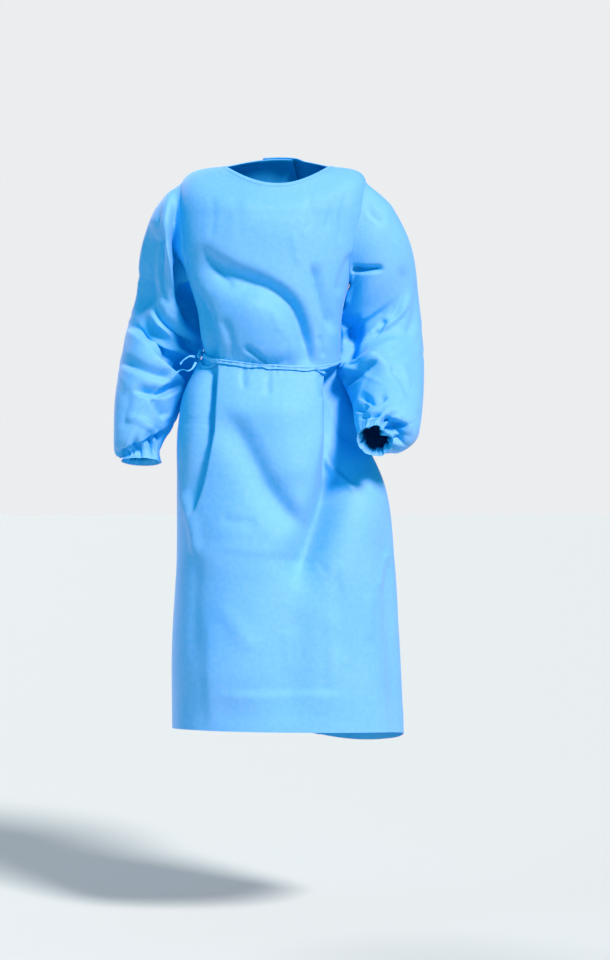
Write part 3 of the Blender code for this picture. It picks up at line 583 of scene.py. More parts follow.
def nonwoven(name, pale, deep, tone):
    """Spunbonded cloth. Staggered welded points are cos(across) * cos(along); fibres are noise drawn
    out along the web; clouds are slow noise. Points are glossier and darker, clouds paler."""
    finish = Finish(name, Sheen_Weight=0.08, Sheen_Roughness=0.5, Specular_IOR_Level=0.8)
    chart = finish.node("ShaderNodeUVMap", {"uv_map": "cloth"})
    across = finish.node("ShaderNodeSeparateXYZ", Vector=chart)
    along = Socket(finish, across.link.node.outputs[1])
    across, along = (finish.maths("COSINE", way * (TURN / BOND_PITCH)) for way in (across, along))
    bond = finish.ramp(across * along, 0.35, 0.85)
    web = finish.node("ShaderNodeMapping", Vector=chart, Scale=(1.0, 0.22, 1.0))
    fibre = finish.node("ShaderNodeTexNoise", Vector=web, Scale=2600.0, Detail=2.0, Roughness=0.6)
    cloud = finish.node("ShaderNodeTexNoise", Vector=chart, Scale=95.0, Detail=3.0, Roughness=0.55)
    drift = finish.node("ShaderNodeTexNoise", Vector=chart, Scale=7.0, Detail=1.0)
    shade = finish.ramp(cloud * 0.55 + drift * 0.45, 0.32, 0.68)
    colour = finish.mix(shade, (*deep, 1), (*pale, 1))
    colour = finish.mix(bond * 0.35, colour, (*tone, 1))
    finish.feed(finish.shader.inputs["Base Color"], colour)
    finish.feed(finish.shader.inputs["Roughness"], 0.72 - bond * 0.18 + fibre * 0.08)
    height = fibre * 0.55 + cloud * 0.5 - bond * 0.8
    bump = finish.node("ShaderNodeBump", Strength=0.16, Distance=0.0006, Height=height)
    finish.feed(finish.shader.inputs["Normal"], bump)
    return finish.material


gown_cloth = nonwoven("nonwoven_blue", (0.138, 0.450, 0.88), (0.104, 0.405, 0.86), (0.068, 0.34, 0.82))


def cloth_piece(name, grid, material, closed_round=False, thickness=CLOTH):
    """A sheet from a grid of points [row, column], with a chart of its own lengths in metres. Its
    faces point to the side from which columns run to the right as rows run up."""
    rows, columns = grid.shape[:2]
    spread = np.concatenate([grid, grid[:, :1]], axis=1) if closed_round else grid
    wide = spread.shape[1]
    across = np.zeros((rows, wide))
    across[:, 1:] = np.cumsum(np.linalg.norm(np.diff(spread, axis=1), axis=-1), axis=1)
    across -= across[:, wide // 2 : wide // 2 + 1]
    along = np.zeros((rows, wide))
    along[1:] = np.cumsum(np.linalg.norm(np.diff(spread, axis=0), axis=-1), axis=0)
    row, place = np.meshgrid(np.arange(rows - 1), np.arange(wide - 1), indexing="ij")
    corners_row = np.stack([row, row, row + 1, row + 1], axis=-1).reshape(-1)
    corners_place = np.stack([place, place + 1, place + 1, place], axis=-1).reshape(-1)
    faces = len(corners_row) // 4
    mesh = bpy.data.meshes.new(name)
    mesh.vertices.add(rows * columns)
    mesh.vertices.foreach_set("co", grid.reshape(-1).astype(np.float32))
    mesh.loops.add(4 * faces)
    corners = corners_row * columns + corners_place % columns
    mesh.loops.foreach_set("vertex_index", corners.astype(np.int32))
    mesh.polygons.add(faces)
    mesh.polygons.foreach_set("loop_start", np.arange(0, 4 * faces, 4, dtype=np.int32))
    mesh.polygons.foreach_set("use_smooth", np.ones(faces, bool))
    chart = mesh.uv_layers.new(name="cloth")
    where = np.stack([across[corners_row, corners_place], along[corners_row, corners_place]], axis=-1)
    chart.data.foreach_set("uv", where.reshape(-1).astype(np.float32))
    mesh.update(calc_edges=True)
    used = np.zeros(4 * faces, np.int32)
    mesh.loops.foreach_get("edge_index", used)
    border = np.bincount(used, minlength=len(mesh.edges)) == 1
    mesh.attributes.new("sharp_edge", "BOOLEAN", "EDGE").data.foreach_set("value", border)
    mesh.materials.append(material)
    piece = placed(name, mesh)
    if thickness:
        wall = piece.modifiers.new("wall", "SOLIDIFY")
        wall.thickness = thickness
        wall.offset = -1
    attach(piece, "root")
    return piece


FRONT_COLUMNS, BACK_COLUMNS, ARMHOLE_ROWS = 150, 96, 64
BELOW_TIE_ROWS, ABOVE_TIE_ROWS, SHOULDER_ROWS = 178, 46, 34
armhole_turns = np.linspace(180, 0, ARMHOLE_ROWS + 1)
below_armhole = np.concatenate(
    [
        1 - np.linspace(1, 0, BELOW_TIE_ROWS) ** 1.12,
        1 + (ARMPIT_LEVEL - 1) * np.linspace(0, 1, ABOVE_TIE_ROWS)[1:-1],
    ]
)
over_shoulder = np.linspace(TIP_LEVEL, 3.0, SHOULDER_ROWS)[1:]
row_levels = np.concatenate([below_armhole, armhole_level(cosine(armhole_turns)), over_shoulder])
row_opening = np.zeros(len(row_levels))
row_opening[len(below_armhole) : -len(over_shoulder)] = sine(armhole_turns)


def panel(name, node, angles, seam_columns):
    """A panel of the body from its angles [row, column], drawn in where it is sewn."""
    levels = np.broadcast_to(row_levels[:, None], angles.shape)
    lift = np.zeros(angles.shape)
    lift[:, list(seam_columns)] = -SEAM_DIP
    grid = body(angles, levels, lift)
    for at in seam_columns:
        towards = grid[:, at + 1] if at == 0 else grid[:, at - 1]
        grid[:, at] += unit(towards - grid[:, at]) * SEAM_GAP / 2
    piece = cloth_piece(name, grid, gown_cloth)
    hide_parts(node)
    return piece


right_seam = -SIDE_SEAM + ARMHOLE_FRONT["right"] * row_opening
left_seam = SIDE_SEAM - ARMHOLE_FRONT["left"] * row_opening
share = np.linspace(0, 1, FRONT_COLUMNS + 1)
front_angles = right_seam[:, None] + (left_seam - right_seam)[:, None] * share
panel("front_cloth", "front_panel", front_angles, (0, -1))
back_seam = SIDE_SEAM + ARMHOLE_BACK * row_opening
share = np.linspace(0, 1, BACK_COLUMNS + 1)
back_angles = back_seam[:, None] + (BACK_EDGE - back_seam)[:, None] * share
panel("left_back_cloth", "back_panel_left", back_angles, (0,))
panel("right_back_cloth", "back_panel_right", -back_angles[:, ::-1], (-1,))

# ------------------------------------------------------------------------------------------------
# The neck binding: a strip of the same cloth folded over the neck edge and sewn down with one row
# of blue thread. It is open at the back, where the panels overlap.
# ------------------------------------------------------------------------------------------------

BINDING_HEIGHT, BINDING_COLUMNS = 0.009, 421
# Across the binding from its sewn edge, over the top and down inside: share of its height, and how
# far it stands out from the neck edge.
BINDING_OUTSIDE = ((0.0, 0.0003), (0.10, 0.0007), (0.34, 0.0006), (0.60, 0.0006), (0.84, 0.0004),
                   (0.97, 0.0))
BINDING_INSIDE = ((1.0, -0.0009), (0.95, -0.0018), (0.60, -0.0022), (0.10, -0.0022))
STITCH_LENGTH, STITCH_PITCH, THREAD_RADIUS = 0.0024, 0.0034, 0.00022
STITCH_RINGS, STITCH_SIDES = 4, 5

thread_finish = Finish("blue_thread", Roughness=0.5)
thread_twist = thread_finish.node("ShaderNodeTexWave", {"bands_direction": "DIAGONAL"}, Scale=2400.0)
thread_finish.feed(
    thread_finish.shader.inputs["Base Color"],
    thread_finish.mix(thread_twist, (0.10, 0.42, 0.80, 1), (0.20, 0.60, 0.95, 1)),
)


def stitches(name, line, outward):
    """A row of stitches along a line: each is a thin rod whose radius swells as a sine of its own
    length, sunk into the cloth at both ends."""
    passed = line_lengths(line)[1]
    starts = np.arange(STITCH_PITCH, passed[-1] - STITCH_PITCH, STITCH_PITCH)
    share = np.linspace(0, 1, STITCH_RINGS)
    at = starts[:, None] + STITCH_LENGTH * share
    middle = np.stack([np.interp(at, passed, line[:, k]) for k in range(3)], axis=-1)
    out = unit(np.stack([np.interp(at, passed, outward[:, k]) for k in range(3)], axis=-1))
    ahead = unit(np.gradient(middle, axis=1))
    side = unit(np.cross(ahead, out))
    swell = np.sin(math.pi * (0.12 + 0.76 * share))
    middle = middle + out * (THREAD_RADIUS * (1.6 * swell - 0.8))[None, :, None]
    turn = np.arange(STITCH_SIDES) * TURN / STITCH_SIDES
    radius = (THREAD_RADIUS * swell)[None, :, None, None]
    around = np.cos(turn)[:, None] * out[:, :, None] + np.sin(turn)[:, None] * side[:, :, None]
    points = (middle[:, :, None] + radius * around).reshape(-1, 3)
    number, spoke = np.arange(len(starts) * STITCH_RINGS), np.arange(STITCH_SIDES)
    this_ring = number.reshape(-1, STITCH_RINGS)[:, :-1, None] * STITCH_SIDES
    next_ring, following = this_ring + STITCH_SIDES, (spoke + 1) % STITCH_SIDES
    corners = (this_ring + spoke, this_ring + following, next_ring + following, next_ring + spoke)
    faces = np.stack(corners, axis=-1)
    caps = number[::STITCH_RINGS, None] * STITCH_SIDES + spoke
    far_end = (STITCH_RINGS - 1) * STITCH_SIDES
    ends = [tuple(cap[::-1]) for cap in caps] + [tuple(cap + far_end) for cap in caps]
    mesh = bpy.data.meshes.new(name)
    mesh.from_pydata(points.tolist(), [], [tuple(f) for f in faces.reshape(-1, 4).tolist()] + ends)
    mesh.polygons.foreach_set("use_smooth", np.ones(len(mesh.polygons), bool))
    mesh.materials.append(thread_finish.material)
    piece = placed(name, mesh)
    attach(piece, "root")
    return piece


binding_angles = np.linspace(-BACK_EDGE, BACK_EDGE, BINDING_COLUMNS)
edge = body(binding_angles, 3.0)
up = unit(edge - body(binding_angles, 2.93))
out = body_normals(half_turn(binding_angles), np.full(len(binding_angles), 3.0))
puckers = 0.00035 * (np.sin(binding_angles * 1.9) + np.sin(binding_angles * 4.3 + 1))[:, None]
binding_rows = []
for rows, pucker in ((BINDING_OUTSIDE, puckers * 0.6), (BINDING_INSIDE, 0.0)):
    for height, proud in rows:
        at = edge + up * (SEAM_GAP / 2 + BINDING_HEIGHT * height)
        binding_rows.append(at + out * (proud + pucker))
trim_shades = (0.144, 0.455, 0.88), (0.109, 0.415, 0.86), (0.073, 0.35, 0.82)
tie_cloth = nonwoven("nonwoven_blue_trim", *trim_shades)
binding = cloth_piece("neck_binding_cloth", np.stack(binding_rows), tie_cloth, thickness=0.0004)
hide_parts("neck_binding")
stitch_line = edge + up * (SEAM_GAP / 2 + BINDING_HEIGHT * 0.22) + out * 0.00075
binding_thread = stitches("neck_binding_thread", stitch_line, out)

# ------------------------------------------------------------------------------------------------
# Sleeves and cuffs: each sleeve is one wide tube of the same cloth, set into a dropped armhole. The
# left one bends forward at the elbow, and the right one hangs a little back. Each sleeve's end is
# turned over a narrow elastic, so the cloth balloons above the wrist and gathers at the edge.
# ------------------------------------------------------------------------------------------------

SIGN = {"left": 1, "right": -1}
# Stations down a sleeve and on over its cuff: a ring's centre, half widths, lean and pitch.
SLEEVE_COLUMNS = ("x", "y", "z", "across", "through", "lean", "pitch")
SLEEVES = {
    "left": (
        (0.176, 0.000, -0.134, 0.104, 0.070, 78, 0),
        (0.192, 0.010, -0.165, 0.093, 0.075, 62, -4),
        (0.205, 0.028, -0.219, 0.0915, 0.078, 43, -8),
        (0.205, 0.052, -0.286, 0.089, 0.080, 20, -4),
        (0.211, 0.048, -0.362, 0.088, 0.086, 5, 16),
        (0.217, -0.025, -0.430, 0.080, 0.082, -8, 38),
        (0.222, -0.084, -0.480, 0.070, 0.072, -18, 50),
        (0.220, -0.132, -0.512, 0.066, 0.062, -25, 58),
    ),
    "right": (
        (-0.186, 0.000, -0.130, 0.102, 0.066, 84, 0),
        (-0.210, 0.014, -0.162, 0.083, 0.072, 70, -8),
        (-0.214, 0.048, -0.216, 0.077, 0.078, 45, -16),
        (-0.209, 0.070, -0.280, 0.077, 0.084, 22, -14),
        (-0.222, 0.076, -0.344, 0.080, 0.090, 12, -4),
        (-0.237, 0.064, -0.404, 0.077, 0.086, 6, 10),
        (-0.253, 0.046, -0.466, 0.070, 0.072, -2, 14),
        (-0.262, 0.032, -0.524, 0.064, 0.062, -14, 16),
    ),
}
CUFFS = {
    "left": (
        (0.220, -0.132, -0.512, 0.066, 0.062, -25, 58),
        (0.216, -0.155, -0.522, 0.058, 0.054, -25, 60),
        (0.207, -0.169, -0.528, 0.045, 0.043, -20, 60),
        (0.199, -0.178, -0.533, 0.034, 0.033, -15, 60),
        (0.197, -0.185, -0.537, 0.033, 0.032, -15, 60),
        (0.195, -0.194, -0.542, 0.036, 0.035, -15, 60),
    ),
    "right": (
        (-0.262, 0.032, -0.524, 0.064, 0.062, -14, 16),
        (-0.267, 0.027, -0.548, 0.060, 0.057, -20, 16),
        (-0.269, 0.023, -0.565, 0.052, 0.049, -20, 16),
        (-0.268, 0.021, -0.575, 0.041, 0.037, -12, 16),
        (-0.268, 0.019, -0.580, 0.037, 0.033, -4, 16),
        (-0.269, 0.017, -0.592, 0.040, 0.035, 2, 16),
    ),
}
# Folds as seen from the front, laid out like those of the body.
SLEEVE_FRONT_FOLDS = {
    "right": (
        # ridge and deep valley beside the chest
        ((9, 12), -9, 0.75,
         ((-198, -26), (-212, -80), (-219, -130), (-216, -176), (-202, -226), (-176, -280))),
        ((13, 16, 13, 14), 46, 0.5,
         ((-172, -36), (-186, -98), (-190, -158), (-184, -226), (-168, -284), (-150, -340))),
        ((7, 9), 8, 0.85, ((-226, -74), (-240, -150), (-236, -220), (-214, -290))),
        ((64, 30, 56, 26), (26, 28), 0.3, ((-260, -104), (-268, -180), (-272, -250), (-262, -316))),
        # creases from the elbow's point to the inside of the sleeve
        ((28, 7, 32, 8), (24, 34), 0.55,
         ((-312, -306), (-276, -328), (-238, -358), (-196, -396), (-150, -436))),
        ((16, 6, 18, 6), (15, 22), 0.6, ((-270, -278), (-228, -316), (-188, -350), (-146, -376))),
        (6, -8, 0.9, ((-254, -302), (-218, -334), (-160, -382))),
        ((14, 4, 13, 4), (15, 18), 0.7, ((-290, -446), (-250, -458), (-214, -456), (-176, -434))),
        ((13, 4, 12, 4), (9, 11), 0.85, ((-250, -462), (-236, -486), (-220, -510))),
        ((15, 8, 13, 6), (10, 13), 0.6, ((-318, -384), (-280, -404), (-238, -420), (-196, -428))),
        ((12, 12, 10, 10), 4, 0.65, ((-288, -440), (-298, -480), (-304, -530))),
        ((10, 14, 8, 14), 5, 0.65, ((-292, -164), (-276, -230), (-256, -290))),
        (8, -5, 0.85, ((-306, -500), (-272, -508), (-236, -530))),
        # the fullness hangs over the elastic
        ((5, 14, 4, 16), (6, 13), 0.75,
         ((-316, -578), (-286, -566), (-256, -554), (-232, -540), (-208, -524))),
        (5, 6, 0.9, ((-246, -548), (-242, -566), (-246, -584))),
        (5, 6, 0.9, ((-268, -556), (-270, -572), (-268, -586))),
        ((4, 5), 6, 0.9, ((-226, -534), (-222, -556), (-228, -576))),
    ),
    "left": (
        # wedge in front of the armpit
        ((11, 3, 7, 3), (20, 14), 0.85, ((146, -210), (176, -211), (204, -208), (222, -205))),
        ((5, 4), -6, 0.9, ((156, -214), (150, -242), (142, -284))),
        ((10, 6, 9, 6), 5, 0.75, ((176, -62), (190, -94), (222, -120))),
        ((24, 6, 26, 6), (18, 26), 0.5, ((134, -300), (146, -336), (142, -376), (130, -404))),
        # creases round the bent elbow
        (7, -7, 0.85, ((270, -246), (254, -290), (222, -320), (196, -332), (140, -382))),
        ((10, 3, 8, 3), 9, 0.9, ((196, -338), (210, -330), (224, -306))),
        ((12, 10), 7, 0.65, ((256, -196), (254, -260), (232, -326))),
        ((26, 5, 4, 3), (24, 9), 0.75, ((130, -446), (154, -428), (178, -410), (208, -386))),
        ((11, 3, 9, 3), 12, 0.9, ((164, -460), (184, -469), (200, -474), (228, -460))),
        ((9, 3, 8, 3), 10, 0.9, ((158, -484), (170, -490), (188, -478))),
        ((6, 3), 8, 0.9, ((164, -504), (186, -500), (214, -498))),
        (8, -4, 0.75, ((178, -384), (220, -356), (262, -344))),
        ((12, 10, 10, 10), 4, 0.65, ((270, -380), (278, -430), (262, -486))),
        ((10, 6, 8, 6), 6, 0.75, ((226, -404), (252, -424), (268, -462))),
        ((10, 8), 5, 0.65, ((286, -220), (282, -290), (262, -350))),
        # crumpled beside the wrist
        ((5, 16), (16, 20), 0.7, ((216, -500), (240, -512), (268, -524))),
        ((16, 6, 14, 6), (10, 12), 0.7, ((222, -516), (240, -534), (250, -560))),
        (5, 7, 0.9, ((228, -520), (238, -540), (234, -562))),
        (5, 6, 0.9, ((246, -520), (254, -540), (248, -558))),
        (5, -4, 0.9, ((226, -556), (248, -536), (266, -530))),
    ),
}
# Folds of the hidden sides, laid out like those of the body: turn round the sleeve, place along it.
SLEEVE_ROUND_FOLDS = {
    "left": (
        (166, 5.20, 92, 5.28, 0.027, 0.027, -0.021),
        (180, 0.9, 180, 2.6, 0.030, 0.030, -0.020),
        (178, 2.2, 182, 4.4, 0.026, 0.026, -0.013),
        (180, 4.2, 172, 5.6, 0.022, 0.022, -0.012),
        (150, 3.9, 70, 2.9, 0.014, 0.014, 0.010),
        (250, 3.0, 330, 3.9, 0.014, 0.014, 0.014),
        (210, 4.2, 300, 4.5, 0.014, 0.014, 0.014),
        (240, 5.2, 330, 5.6, 0.012, 0.012, 0.010),
        (300, 1.4, 340, 2.8, 0.014, 0.014, 0.008),
        (200, 2.2, 260, 2.6, 0.010, 0.010, 0.008),
    ),
    "right": (
        (156, 4.3, 30, 3.4, 0.014, 0.014, 0.008),
        (170, 5.1, 60, 4.3, 0.018, 0.018, 0.008),
        (250, 3.0, 330, 3.8, 0.014, 0.014, 0.014),
        (210, 4.4, 300, 4.8, 0.014, 0.014, 0.014),
        (230, 5.6, 310, 6.0, 0.012, 0.012, 0.010),
        (300, 1.4, 340, 2.8, 0.014, 0.014, 0.008),
        (220, 2.0, 280, 2.5, 0.010, 0.010, 0.008),
    ),
}
# Half a sleeve's width and the length from station to station, for its folds, and the length over
# which it keeps to the armhole's direction.
SLEEVE_REACH, SLEEVE_PITCH, LEAVING = 0.078, 0.065, 0.030
SLEEVE_GIRTH, SLEEVE_OVERLAP = 490, 90  # millimetres round a sleeve, and where its creases meet
SLEEVE_HANDLED = (46, ((0, SLEEVE_GIRTH), (60, 620)), (90, 240), (5, 11), 2.6, 25, 40)
SLEEVE_ROUND, SLEEVE_ROWS, CUFF_ROWS = 216, 150, 60
ELASTIC_PLACE = 4.0  # in the cuff tables
SLEEVE_FRONT_FROM, SLEEVE_FRONT_RAMP = -0.05, 0.4  # as for the body
ARMHOLE_RAMP = 0.022  # metres from the armhole in which the folds begin


def station(table, along):
    """Every column of a sleeve or cuff table, read at places along it, as a dictionary."""
    number = np.arange(len(table), dtype=float)
    return {
        name: through_points(along, number, column(table, SLEEVE_COLUMNS, name))
        for name in SLEEVE_COLUMNS
    }


def ring(side, now, turn):
    """A sleeve's oval ring: turn 0 is its outer side, 90 its front, 180 the side towards the body."""
    sign = SIGN[side]
    zero = np.zeros_like(now["lean"])
    out = np.stack([sign * cosine(now["lean"]), zero, sine(now["lean"])], axis=-1)
    down = np.stack([sign * sine(now["lean"]), zero, -cosine(now["lean"])], axis=-1)
    ahead = np.stack([zero, zero - 1, zero], axis=-1)
    pitch = now["pitch"][..., None]
    front = ahead * cosine(pitch) - down * sine(pitch)
    centre = np.stack([now["x"], now["y"], now["z"]], axis=-1)
    across = (now["across"] * cosine(turn))[..., None] * out
    return centre, centre + across + (now["through"] * sine(turn))[..., None] * front


def grid_normals(grid, sign):
    """Unit normals of a grid that closes on itself round its columns."""
    around = np.roll(grid, -1, axis=1) - np.roll(grid, 1, axis=1)
    return sign * unit(np.cross(around, np.gradient(grid, axis=0)))


def plain_sleeve(side, turn, along):
    """A sleeve without fine folds: it leaves the armhole in the panel's plane at the shoulder, square
    to it under the arm, and then takes up the rings."""
    centre, points = ring(side, station(SLEEVES[side], along), turn)
    per_degree = math.radians(1) * SLEEVE_REACH
    pushed = round_folds(turn, along, SLEEVE_ROUND_FOLDS[side], per_degree, SLEEVE_PITCH)
    pushed *= smoothstep((along - 0.3) / 0.6) * smoothstep((len(SLEEVES[side]) - 1 - along) / 0.8)
    points = points - unit(points - centre) * pushed[..., None]
    around = turn[0]
    reach = np.where(sine(around) > 0, ARMHOLE_FRONT[side], ARMHOLE_BACK)
    angle, level = SIGN[side] * (SIDE_SEAM - reach * sine(around)), armhole_level(cosine(around))
    edge, normal = body(angle, level, -SEAM_DIP), body_normals(angle, level)
    off = unit(np.cross(np.roll(edge, -1, axis=0) - np.roll(edge, 1, axis=0), normal))
    off *= np.sign(np.sum(off * (np.mean(edge, axis=0) - edge), axis=-1, keepdims=True))
    top = (0.5 + 0.5 * cosine(around))[..., None]
    away = unit(off * top + normal * (1.05 - top))
    start = edge + off * SEAM_GAP / 2 + away * (0.3 + 0.7 * top) * LEAVING * along[..., None]
    return start + (points - start) * smoothstep(along)[..., None]


def cuff_pleats(turn, from_edge):
    """Gathers at a sleeve's end, in metres: 9 broad pleats, 17 lesser and 31 fine ones round it,
    cosines with a drifting phase and an uneven depth, each a bell along the distance to its elastic."""
    drift = turn + 8 * sine(2 * turn + 30) + 4 * sine(5 * turn) + 500 * from_edge * sine(3 * turn + 80)
    uneven = 0.55 + 0.45 * sine(4 * turn + 20) * sine(7 * turn + 50)
    broad = (0.5 + 0.5 * cosine(9 * drift)) ** 1.5
    other = (0.5 + 0.5 * cosine(17 * (drift + 3 * sine(6 * turn)))) ** 1.3
    fine = 0.5 + 0.5 * cosine(31 * (turn + 3 * sine(4 * turn + 60)))
    above, near = np.clip(from_edge, 0, None), np.abs(from_edge)
    reach = smoothstep((from_edge + 0.012) / 0.016)
    pleats = 0.0062 * broad * np.exp(-(((above - 0.014) / 0.015) ** 2))
    pleats += 0.0034 * other * np.exp(-((above / 0.016) ** 2)) * (1.5 - uneven)
    return pleats * reach * (0.5 + uneven) + 0.0011 * fine * np.exp(-((near / 0.009) ** 2))


def make_sleeve(side):
    """A sleeve and its cuff on one grid, with every fold along its normals, parted at the cuff."""
    turns = np.arange(SLEEVE_ROUND) * 360 / SLEEVE_ROUND
    along = (len(SLEEVES[side]) - 1) * np.linspace(0, 1, SLEEVE_ROWS) ** 1.08
    turn, place = np.meshgrid(turns, along)
    upper = plain_sleeve(side, turn, place)
    cuff_places = np.linspace(0, len(CUFFS[side]) - 1, CUFF_ROWS)
    cuff_turn, cuff_place = np.meshgrid(turns, cuff_places[1:])
    lower = ring(side, station(CUFFS[side], cuff_place), cuff_turn)[1]
    grid = np.concatenate([upper, lower])
    turn = np.concatenate([turn, cuff_turn])
    normals = grid_normals(grid, SIGN[side])
    passed = line_lengths(np.mean(grid, axis=1))[1]
    elastic = np.interp(ELASTIC_PLACE, cuff_places, passed[SLEEVE_ROWS - 1 :])
    from_edge = (elastic - passed)[:, None] * np.ones(SLEEVE_ROUND)
    x, z = seen_from_front(grid)
    facing = smoothstep((-normals[..., 1] - SLEEVE_FRONT_FROM) / SLEEVE_FRONT_RAMP)
    leave = smoothstep(passed / ARMHOLE_RAMP)[:, None]
    pushed = drawn_folds(x, z, SLEEVE_FRONT_FOLDS[side]) * facing
    around = turn * math.radians(1) * SLEEVE_REACH * 1000
    down = passed[:, None] * 1000 * np.ones(SLEEVE_ROUND)
    pushed += small_creases(around, down, 11 + len(side), SLEEVE_HANDLED)
    wraps = small_creases(around - SLEEVE_GIRTH, down, 11 + len(side), SLEEVE_HANDLED)
    pushed += wraps * smoothstep((around - SLEEVE_GIRTH + SLEEVE_OVERLAP) / SLEEVE_OVERLAP)
    grid = grid - normals * (pushed * leave + cuff_pleats(turn, from_edge))[..., None]
    if side == "right":
        grid = grid[:, ::-1]
    sleeve_grid, cuff_grid = grid[:SLEEVE_ROWS][::-1], grid[SLEEVE_ROWS - 1 :][::-1]
    sleeve = cloth_piece(f"{side}_sleeve_cloth", sleeve_grid[:, ::-1], gown_cloth, closed_round=True)
    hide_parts(f"sleeve_{side}")
    cuff = cloth_piece(f"{side}_cuff_cloth", cuff_grid[:, ::-1], gown_cloth, closed_round=True)
    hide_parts(f"cuff_{side}")


make_sleeve("left")
make_sleeve("right")

# ------------------------------------------------------------------------------------------------
# The waist tie: two long strips of the same cloth, folded in three lengthwise and sewn, carried
# round the waist over both back panels and knotted at the wearer's right, with two short ends.
# ------------------------------------------------------------------------------------------------

TIE_BOTTOM, TIE_TOP = 0.9925, 1.019  # levels
TIE_LIFT, TIE_THICKNESS = 0.0006, 0.0018
TIE_COLUMNS, TIE_ROWS = 760, 9
KNOT_ANGLE, KNOT_LEVEL, KNOT_LIFT = -80.0, 1.005, 0.0085
KNOT_CLEAR, STEP_DOWN = 2.6, 14.0  # degrees: the tie stops short of the knot, and comes off the overlap
PINCH = -8.0  # the angle at which the tie is twisted narrow
UPPER_TAIL = (
    (-0.158, -0.044, -0.381),
    (-0.168, -0.050, -0.380),
    (-0.178, -0.056, -0.386),
    (-0.187, -0.060, -0.396),
)
LOWER_TAIL = (
    (-0.156, -0.052, -0.392),
    (-0.163, -0.060, -0.404),
    (-0.172, -0.066, -0.409),
    (-0.182, -0.070, -0.407),
    (-0.194, -0.074, -0.413),
    (-0.204, -0.076, -0.424),
)
# A strand that has worked loose beside the knot and a small flap, as angles and levels.
STRAND = ((-50.0, 0.993), (-57.0, 0.983), (-64.0, 0.977), (-71.0, 0.978), (-77.0, 0.988))
FLAP = ((36.0, 0.996), (41.0, 0.988), (47.0, 0.981), (53.0, 0.976))
LOOSE_LIFT = 0.0042
TAIL_HALF_WIDTH, LOOSE_HALF_WIDTH = 0.0021, 0.0022
STRIP_COLUMNS, STRIP_ROWS = 46, 7
KNOT_STEPS, KNOT_SPOKES = 120, 14


def tie_grid():
    """The tape round the waist: its level wanders by sines, and two waves run along it."""
    angles = np.linspace(KNOT_ANGLE + KNOT_CLEAR, KNOT_ANGLE + 360 - KNOT_CLEAR, TIE_COLUMNS)
    angle, row = np.meshgrid(angles, np.linspace(0, 1, TIE_ROWS))
    stepped = BACK_LIFT * smoothstep((angle - BACK_EDGE - 2) / STEP_DOWN)
    narrow = 1 - 0.35 * np.exp(-(((angle - PINCH) / 3.5) ** 2)) - 0.12 * sine(7 * angle) ** 2
    sag = 0.10 * sine(9 * angle + 20) + 0.06 * sine(23 * angle)
    middle, high = (TIE_BOTTOM + TIE_TOP) / 2, TIE_TOP - TIE_BOTTOM
    level = middle + high * ((row - 0.5) * narrow + sag * 0.35)
    waves = 0.0009 * np.cos(TURN * 1.5 * row + 0.9 * sine(5 * angle))
    waves *= 0.7 + 0.3 * sine(17 * angle)
    twist = 0.0012 * np.exp(-(((angle - PINCH) / 4) ** 2)) + 0.0007 * np.abs(sine(31 * angle)) ** 3
    crown = 0.0007 * np.sin(math.pi * row)
    return body(angle, level, TIE_LIFT + TIE_THICKNESS - stepped + waves + twist + crown)


tie = cloth_piece("waist_tie_cloth", tie_grid(), tie_cloth, thickness=0.0012)
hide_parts("waist_tie")


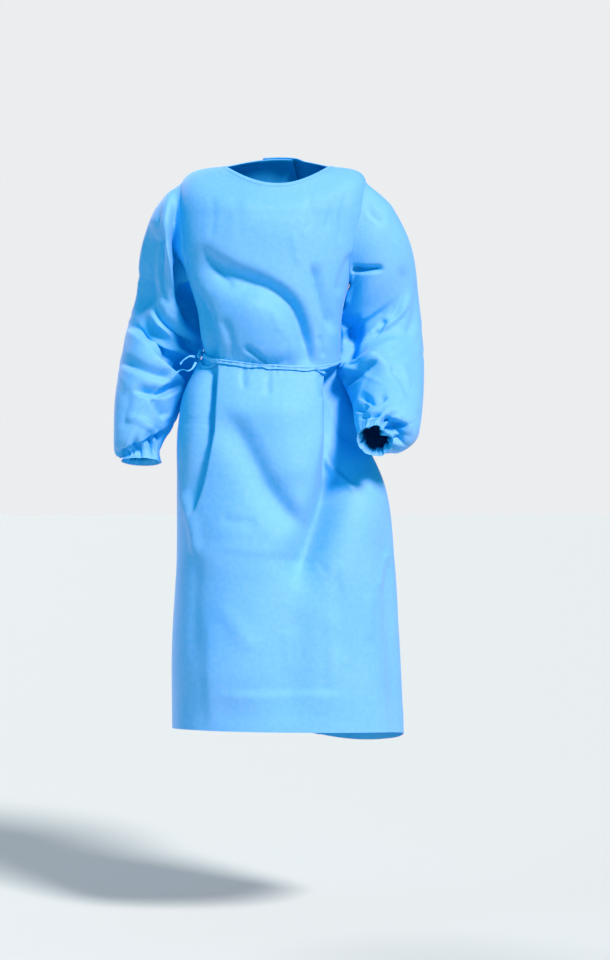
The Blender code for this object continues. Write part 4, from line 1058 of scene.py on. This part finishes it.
def strip(name, route, half_width, seed):
    """A loose length of the tie: its cross section is a shallow wave that turns along the route."""
    known = np.arange(len(route), dtype=float)
    at = np.linspace(0, len(route) - 1, STRIP_COLUMNS)
    line = np.stack([through_points(at, known, np.array(route)[:, k]) for k in range(3)], axis=-1)
    ahead = unit(np.gradient(line, axis=0))
    flat = unit(np.cross(ahead, (0.0, 1.0, 0.25)))
    out = unit(np.cross(ahead, flat))
    way = np.linspace(0, 1, len(at))
    roll = 0.5 * np.sin(5 * way + seed) + 0.3 * np.sin(13 * way + 2 * seed)
    side = flat * np.cos(roll)[:, None] + out * np.sin(roll)[:, None]
    face = out * np.cos(roll)[:, None] - flat * np.sin(roll)[:, None]
    share = np.linspace(-1, 1, STRIP_ROWS)[:, None, None]
    wide = half_width * (0.85 + 0.2 * np.sin(9 * way + seed))[:, None]
    wave = 0.0005 * np.cos(math.pi * 1.6 * share + (6 * way)[:, None])
    grid = line + side * wide * share + face * wave
    return cloth_piece(name, grid, tie_cloth, thickness=0.0009)


def knot_cloth():
    """The knot: a flat-sided rod carried along a trefoil, three lobes that pass over each other."""
    turn = np.linspace(0, TURN, KNOT_STEPS + 1)[:-1]
    middle = body(KNOT_ANGLE, KNOT_LEVEL, KNOT_LIFT)
    out = body_normals(np.array(KNOT_ANGLE), np.array(KNOT_LEVEL))
    side = unit(np.cross(out, (0.0, 0.0, 1.0)))
    rise = np.cross(side, out)
    loop = (
        side * ((np.sin(turn) + 2 * np.sin(2 * turn)) * 0.0019)[:, None]
        + rise * ((np.cos(turn) - 2 * np.cos(2 * turn)) * 0.0023)[:, None]
        - out * (np.sin(3 * turn) * 0.0024)[:, None]
    )
    ahead = unit(np.roll(loop, -1, axis=0) - np.roll(loop, 1, axis=0))
    broad = unit(np.cross(ahead, out))
    thick = np.cross(broad, ahead)
    spoke = np.arange(KNOT_SPOKES) * TURN / KNOT_SPOKES
    aside, above = 0.0030 * np.cos(spoke), 0.0017 * np.sin(spoke) + 0.0004 * np.sin(5 * spoke)
    grid = middle + loop + aside[:, None, None] * broad + above[:, None, None] * thick
    grid = np.concatenate([grid, grid[:1]])
    return cloth_piece("waist_knot_cloth", grid, tie_cloth, closed_round=True, thickness=0)


knot = knot_cloth()
tails = [
    strip("upper_tie_end_cloth", UPPER_TAIL, TAIL_HALF_WIDTH, 0.4),
    strip("lower_tie_end_cloth", LOWER_TAIL, TAIL_HALF_WIDTH, 1.7),
]
for piece, node in zip([knot, *tails], ("waist_knot", "tie_end_upper", "tie_end_lower")):
    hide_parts(node)
loose = [
    strip("tie_strand_cloth", body(*np.array(STRAND).T, LOOSE_LIFT), LOOSE_HALF_WIDTH, 0.9),
    strip("tie_flap_cloth", body(*np.array(FLAP).T, LOOSE_LIFT), LOOSE_HALF_WIDTH, 2.6),
]
